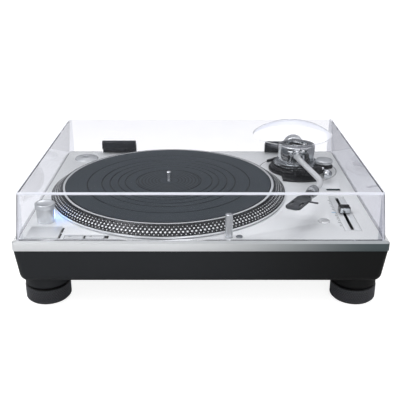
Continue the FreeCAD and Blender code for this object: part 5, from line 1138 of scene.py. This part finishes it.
@dataclass
class Controls:
    """The buttons, the strobe tower, the pitch slider and the light, in millimetres.

    light, reset and adapter are points on the axes of round pieces, in metres.
    """

    dresser: Dresser
    places: Places
    light: tuple[float, float, float] = (0.0343, -0.1625, 0.0)
    reset: tuple[float, float, float] = (0.1588, -0.116, 0.0)
    adapter: tuple[float, float, float] = (-0.1874, 0.139, 0.0)
    buttons: tuple[str, ...] = ("start_stop_button", "speed_button_33", "speed_button_45")
    scale: tuple[float, float] = (178.4, -86.4)
    tick_step: float = 5.4
    frame: tuple[float, float, float, float] = (179.9, -144.8, 200.7, -28.0)
    frame_line: float = 0.35
    # The painted shade round the buttons: its width and its gap from them.
    outline: float = 0.45
    outline_gap: float = 0.75

    def glow_material(self) -> bpy.types.Material:
        """The lamp's blue lens."""
        shade = Shade("blue_lens")
        haze = shade.noise(shade.place, 400.0, 2.0)
        shade.surface(
            {
                "Base Color": shade.mix(haze, tone("2f6fe0"), tone("8fc0ff")),
                "Roughness": 0.2,
                "Emission Color": shade.mix(haze, tone("3f86ff"), tone("a8d4ff")),
                "Emission Strength": 11.0,
            }
        )
        return shade.material

    def mark(
        self, bm: bmesh.types.BMesh, x: float, y: float, width: float, depth: float
    ) -> None:
        """Adds one flat mark on the deck: a print, or painted shade beside a button."""
        place = at(x, y, self.places.deck)
        brick(bm, (-width / 2, -depth / 2, -0.05), (width / 2, depth / 2, 0.03), place)

    def print_scale(self) -> None:
        """The pitch scale: ticks beside the slider, with a blue centre mark, and its frame."""
        ink = Finish("dark_ink", "3a3e42", 0.6).make()
        blue = Finish("blue_ink", "9dc0dd", 0.5).make()
        x, y = self.scale
        bm = bmesh.new()
        for n in range(-8, 9):
            shift, width = (0.6, 3.0) if n % 2 == 0 else (0.0, 1.8)
            if n != 0:
                self.mark(bm, x - shift, y + n * self.tick_step, width, 1.5)
        put("pitch_scale", solid(bm, "pitch_scale"), ink, "root")
        bm = bmesh.new()
        self.mark(bm, x - 1.6, y, 6.0, 2.6)
        put("pitch_centre_mark", solid(bm, "pitch_centre_mark"), blue, "root")
        bm = bmesh.new()
        x0, y0, x1, y1 = self.frame
        for level in (y0, y1):
            self.mark(bm, (x0 + x1) / 2, level, x1 - x0, self.frame_line)
        for side in (x0, x1):
            self.mark(bm, side, (y0 + y1) / 2, self.frame_line, y1 - y0)
        put("pitch_frame_line", solid(bm, "pitch_frame_line"), ink, "root")

    def build(self) -> None:
        """Dresses the controls."""
        give, turned = self.dresser.give, Grain.TURNED
        button = Finish("silver_button", "dfe1e3", 0.34, 0.3, Grain.BRUSHED)
        give(button, *self.buttons, edge=0.35)
        tower = Finish("tower_metal", "dfe2e5", 0.26, 0.5, turned, upright(self.places.tower))
        give(tower, "strobe_tower", "power_knob", edge=0.3)
        self.dresser.dress(self.glow_material(), "strobe_window", edge=0.0)
        light = Finish("light_post", "cdd0d3", 0.22, 0.7, turned, Axis(self.light))
        give(light, "target_light", edge=0.3)
        give(Finish("small_button", "8b9094", 0.3, 0.8), "target_button", edge=0.3)
        reset = Finish("reset_chrome", "f4f5f6", 0.16, 0.5, turned, Axis(self.reset))
        give(reset, "reset_button", edge=0.5)
        panel = Finish("pitch_plate", "e8eaec", 0.38, 0.22, Grain.BRUSHED)
        give(panel, "pitch_panel", edge=0.15)
        give(Finish("slider_black", "1a1c1f", 0.3, coat=0.3), "pitch_knob", edge=0.5)
        line = Axis(self.adapter)
        adapter = Finish("adapter_metal", "e0e3e6", 0.24, 0.45, turned, line, relief=0.00002)
        give(adapter, "record_adapter")
        self.print_scale()
        self.print_numbers()
        self.rib_slider()
        self.shade_gaps()

    def print_numbers(self) -> None:
        """The speeds on their buttons and a mark on the power knob."""
        ink = Finish("number_ink", "3a3e42", 0.6).make()
        for name, digits in (("speed_button_33", "33"), ("speed_button_45", "45")):
            x, y = Places.middle(name)
            place = at(x - 5.0, y, Places.top(name) + 0.01)
            put("numeral_" + digits, numeral(digits, 2.6, place), ink, name)
        place = at(*self.places.tower, Places.top("power_knob"))
        bm = bmesh.new()
        brick(bm, (-0.5, -12.3, -0.05), (0.5, -9.8, 0.04), place)
        put("power_index", solid(bm, "power_index"), ink, "power_knob")

    def shade_gaps(self) -> None:
        """Painted shadow: the dark ends beside the buttons, and painted shade: the grey lines
        round them.
        """
        # Painted shadow: dark bars in the gaps at the buttons' right ends.
        black = Finish("gap_black", "1d1e20", 0.6).make()
        bm = bmesh.new()
        for node, width, inset, parts in zip(
            self.buttons, (2.2, 2.6, 5.0), (1.2, 0.6, 0.6), (2, 1, 1)
        ):
            _, y0, x1, y1 = plan(node)
            length = (y1 - y0) / parts
            for n in range(parts):
                y = y0 + (n + 0.5) * length
                self.mark(bm, x1 + 0.5 + width / 2, y, width, length - 2 * inset)
        put("button_gaps", solid(bm, "button_gaps"), black, "root")
        # Painted shade: grey lines in the gaps round the buttons.
        grey = Finish("button_outline", "7b8086", 0.6).make()
        bm = bmesh.new()
        gap = self.outline_gap
        for node in self.buttons:
            x0, y0, x1, y1 = plan(node)
            for y in (y0 - gap, y1 + gap):
                self.mark(bm, (x0 + x1) / 2, y, x1 - x0 + 2.0, self.outline)
            self.mark(bm, x0 - gap, (y0 + y1) / 2, self.outline, y1 - y0 + 1.0)
        put("button_outline", solid(bm, "button_outline"), grey, "root")

    def rib_slider(self) -> None:
        """The pitch knob's ribs and its bright front face."""
        x0, y0, x1, y1 = plan("pitch_knob")
        top = Places.top("pitch_knob")
        black = Finish("slider_ribs", "121316", 0.32, coat=0.2).make()
        bm = bmesh.new()
        margin, half, ribs = 1.2, 0.35, 7
        step = (y1 - y0 - 2 * margin) / (ribs - 1)
        for n in range(ribs):
            y = y0 + margin + n * step
            low, high = (x0 + 0.9, y - half, top - 2.2), (x1 - 0.9, y + half, top + 0.15)
            brick(bm, low, high, Matrix.Identity(4), 0.15)
        put("slider_ribs", solid(bm, "slider_ribs"), black, "pitch_knob")
        bright = Finish("slider_front", "cdd1d4", 0.25, 0.9, Grain.BRUSHED).make()
        bm = bmesh.new()
        low, high = (x0 + 0.8, y0 - 0.25, self.places.deck + 1.4), (x1 - 0.8, y0 + 0.6, top - 1.2)
        brick(bm, low, high, Matrix.Identity(4), 0.2)
        put("slider_front", solid(bm, "slider_front"), bright, "pitch_knob")


@dataclass
class Arm:
    """The tonearm, its base and its controls.

    rear and head are the directions of the rear stub and of the headshell. collar, a
    point on the headshell's axis, and level, the pivot's height, are in metres. circle is
    the printed circle's centre and radius, in millimetres.
    """

    dresser: Dresser
    places: Places
    rear: tuple[float, float, float] = (0.0523156, 0.9982402, -0.0279216)
    head: tuple[float, float, float] = (-0.5045095, -0.8630496, 0.0248116)
    collar: tuple[float, float, float] = (0.142023, -0.09707, 0.130632)
    level: float = 0.1255
    circle: tuple[float, float, float] = (152.0, 84.0, 59.5)
    circle_steps: int = 160
    platter_reach: float = 171.0

    def pivot(self) -> Axis:
        """The upright line through the pivot."""
        return upright(self.places.pivot)

    def back(self) -> Axis:
        """The line of the rear stub."""
        x, y, _ = self.pivot().point
        return Axis((x, y, self.level), self.rear)

    def front(self) -> Axis:
        """The line of the headshell and its collar."""
        return Axis(self.collar, self.head)

    def build(self) -> None:
        """Dresses the arm."""
        give, turned, pivot = self.dresser.give, Grain.TURNED, self.pivot()
        black = Finish("arm_base_black", "131416", 0.42, 0.0, Grain.CAST, gloss=0.25)
        give(black, "arm_flange", "arm_bracket", "arm_lock_lever", "arm_rest", edge=0.3)
        ring = Finish("height_ring_black", "121315", 0.35, 0.1, turned, pivot, gloss=0.3)
        give(ring, "height_ring", edge=0.3)
        silver = Finish("base_silver", "c9cdd0", 0.25, 1.0, turned, pivot)
        give(silver, "arm_pillar", edge=0.3)
        chrome = Finish("drum_chrome", "e3e6e8", 0.07, 1.0, turned, pivot, relief=0.000001)
        give(chrome, "yoke", "gimbal_ring", edge=0.3)
        give(Finish("tube_silver", "f0f1f3", 0.3, 0.3, mottle=0.02), "arm_tube", edge=0.0)
        weight = Finish("weight_silver", "dfe2e5", 0.26, 0.7, turned, self.back())
        give(weight, "counterweight", "weight_sleeve", edge=0.3)
        give(Finish("force_ring_black", "1c1d20", 0.4), "force_ring")
        collar = Finish(
            "collar_metal",
            "c4c8cb",
            0.22,
            1.0,
            Grain.KNURLED,
            self.front(),
            relief=0.0001,
            fineness=80.0,
        )
        give(collar, "shell_collar")
        shell = Finish("shell_graphite", "55585b", 0.35, 0.7, Grain.BRUSHED)
        give(shell, "headshell", edge=0.3)
        give(Finish("clip_black", "202226", 0.4), "arm_clip")
        skate = upright(Places.middle("antiskate_dial"))
        give(Finish("dial_silver", "dcdfe2", 0.24, 0.4, turned, skate), "antiskate_dial", edge=0.3)
        give(Finish("lever_silver", "d2d5d8", 0.2, 0.95), "cue_lever")
        give(Finish("lift_black", "18191b", 0.5), "lift_bar")
        self.knurl_dials(pivot, skate)
        self.mark_base(pivot)

    def knurl_dials(self, pivot: Axis, skate: Axis) -> None:
        """Adds the ribs and marks of the dials and of the collar, each on its own axis.

        Args:
            pivot: The height ring's axis.
            skate: The anti-skate dial's axis.
        """
        white = Finish("dial_marks", "e8eaeb", 0.5).make()
        dark = Finish("dial_ink", "2c2f33", 0.5).make()
        rib = Finish("dial_ribs", "c9cccf", 0.26, 0.6).make()
        black = Finish("ring_ribs", "1c1d20", 0.4).make()
        for node, axis, count, share, finish in (
            ("antiskate_dial", skate, 60, 0.4, rib),
            ("force_ring", self.back(), 56, 0.5, black),
            ("shell_collar", self.front(), 40, 0.45, rib),
            ("height_ring", pivot, 110, 0.3, black),
        ):
            radius, low, high = reach(node, axis)
            if node == "antiskate_dial":
                low = high - 5.5
            width = 2 * math.pi * radius / count * 0.7
            middle = low + (high - low) * 0.42
            ring = Ring(node + "_ribs", count, radius)
            mesh = ring.build(stud(width, (high - low) * share, 0.3), finish, along(axis, middle))
            put(node + "_ribs", mesh, finish, node)
        unit = stud(0.45, 0.1, 1.6, 0.9)
        ticks = Ring("skate_ticks", 24, 10.3, Places.top("antiskate_dial"))
        place = at(*Places.middle("antiskate_dial"), 0.0)
        put("skate_ticks", ticks.build(unit, dark, place), dark, "antiskate_dial")
        radius, low, _ = reach("force_ring", self.back())
        ticks = Ring("force_ticks", 30, radius - 2.6)
        place = along(self.back(), low)
        put("force_ticks", ticks.build(unit, white, place), white, "force_ring")

    def mark_base(self, pivot: Axis) -> None:
        """The circle round the arm's base and the index on its ring.

        Args:
            pivot: The height ring's axis.
        """
        ink = Finish("circle_ink", "4a4e53", 0.5).make()
        white = Finish("index_white", "eceeef", 0.5).make()
        cx, cy, radius = self.circle
        half = math.pi * radius / self.circle_steps
        bm = bmesh.new()
        for n in range(self.circle_steps):
            turn = 360 * n / self.circle_steps
            x = cx + radius * math.cos(math.radians(turn))
            y = cy + radius * math.sin(math.radians(turn))
            if math.dist((x, y), self.places.platter) >= self.platter_reach:
                place = at(x, y, self.places.deck, turn)
                brick(bm, (-0.5, -half, -0.04), (0.5, half, 0.02), place)
        put("base_circle", solid(bm, "base_circle"), ink, "root")
        bm = bmesh.new()
        out, _, level = reach("height_ring", pivot)
        place = at(*self.places.pivot, 0.0, -98.0)
        brick(bm, (out - 5.2, -0.7, level - 0.1), (out - 2.4, 0.7, level + 0.05), place)
        put("height_index", solid(bm, "height_index"), white, "height_ring")


# The studio


@dataclass(frozen=True)
class Studio:
    """The camera, the floor and the lights.

    The lamps are given by name, place, side and power, in metres and watts.
    """

    lens: float = 58.95
    eye: tuple[float, float, float] = (-0.0008, -0.8875, 0.4386)
    dip: float = 21.83
    ambient: float = 0.6
    mirrored: float = 0.9
    floor_glow: float = 0.86
    aim: tuple[float, float, float] = (0.0, 0.0, 0.1)
    lamps: tuple[tuple[str, tuple[float, float, float], float, float], ...] = (
        ("key", (-0.9, -0.6, 1.5), 1.2, 13.5),
        ("fill", (0.4, -1.6, 0.7), 1.0, 6.5),
        ("back", (0.1, 0.9, 2.0), 1.2, 6.5),
    )

    def camera(self) -> None:
        """Stands the camera where the photograph was taken from."""
        data = bpy.data.cameras.new("camera")
        data.lens = self.lens
        data.sensor_width = 36.0
        data.clip_start = 0.01
        camera = bpy.data.objects.new("camera", data)
        camera.location = self.eye
        camera.rotation_euler = (math.radians(90 - self.dip), 0.0, 0.0)
        bpy.context.scene.collection.objects.link(camera)
        bpy.context.scene.camera = camera

    def lamp(self, name: str, place: Sequence[float], size: float, power: float) -> None:
        """Adds one soft square lamp that faces the turntable.

        Args:
            name: The lamp's name.
            place: Where it hangs, in metres.
            size: The length of its side.
            power: Its power in watts.
        """
        data = bpy.data.lights.new(name, "AREA")
        data.shape = "SQUARE"
        data.size = size
        data.energy = power
        lamp = bpy.data.objects.new(name, data)
        lamp.location = place
        facing = (Vector(self.aim) - Vector(place)).to_track_quat("-Z", "Y")
        lamp.rotation_euler = facing.to_euler()
        bpy.context.scene.collection.objects.link(lamp)

    def world(self) -> None:
        """A white background, a plain light, and a grey gradient with panels for mirrors."""
        world = bpy.data.worlds.new("studio")
        world.use_nodes = True
        bpy.context.scene.world = world
        tree = Tree(world.node_tree)

        def sky(colour: Any, strength: float) -> Value:
            """One background."""
            settings = {"Color": colour, "Strength": strength}
            return tree.node("ShaderNodeBackground", None, settings)

        x, y, z = tree.split(tree.node("ShaderNodeTexCoord", output="Generated"))
        dim, mid = (0.16, 0.165, 0.18, 1), (0.5, 0.51, 0.53, 1)
        stops = [(0.0, mid), (0.46, mid), (0.53, dim), (0.74, dim), (0.84, WHITE), (1.0, WHITE)]
        shade = tree.node("ShaderNodeValToRGB", {"stops": stops}, {0: z * 0.5 + 0.5})
        panels = (y.math("ARCTAN2", x) * -5.0).math("SINE").ramp(-0.2, 0.3)
        patches = tree.mix(panels * z.below(0.36) * 0.75, shade, WHITE)
        mirrored = sky(patches, self.mirrored)
        base = tree.blend(tree.ray("Is Glossy Ray"), sky(WHITE, self.ambient), mirrored)
        both = tree.blend(tree.seen(), base, sky(WHITE, 1.0))
        tree.node("ShaderNodeOutputWorld", None, {"Surface": both})

    def floor(self) -> None:
        """A wide floor that shows white and keeps the turntable's shadow."""
        bm = bmesh.new()
        bmesh.ops.create_grid(bm, x_segments=1, y_segments=1, size=6.0)
        mesh = bpy.data.meshes.new("floor")
        bm.to_mesh(mesh)
        bm.free()
        shade = Shade("floor_white")
        paint = shade.node("ShaderNodeBsdfDiffuse", None, {"Color": (0.5, 0.5, 0.5, 1)})
        light = {"Color": WHITE, "Strength": shade.seen() * self.floor_glow}
        glow = shade.node("ShaderNodeEmission", None, light)
        shade.end(shade.node("ShaderNodeAddShader", None, {0: paint, 1: glow}))
        mesh.materials.append(shade.material)
        floor = bpy.data.objects.new("floor", mesh)
        floor.location.z = -0.0002
        bpy.context.scene.collection.objects.link(floor)

    def build(self) -> None:
        """Sets up the studio."""
        bpy.context.scene.view_settings.view_transform = "Standard"
        self.camera()
        self.world()
        self.floor()
        for lamp in self.lamps:
            self.lamp(*lamp)


def main() -> None:
    """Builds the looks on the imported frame."""
    logging.basicConfig(level=logging.INFO, format="%(name)s: %(message)s")
    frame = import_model()
    Studio().build()
    places = Places.read()
    dresser = Dresser(frame["nodes"])
    for part in (
        Chassis(dresser, places),
        Feet(dresser),
        Platter(dresser, places),
        Controls(dresser, places),
        Arm(dresser, places),
        Cover(dresser),
    ):
        part.build()
        LOG.info("built %s", type(part).__name__)
    bare = sorted(set(frame["nodes"]) - dresser.done)
    if bare:
        LOG.warning("nodes with no finish: %s", bare)


if __name__ == "__main__":
    main()
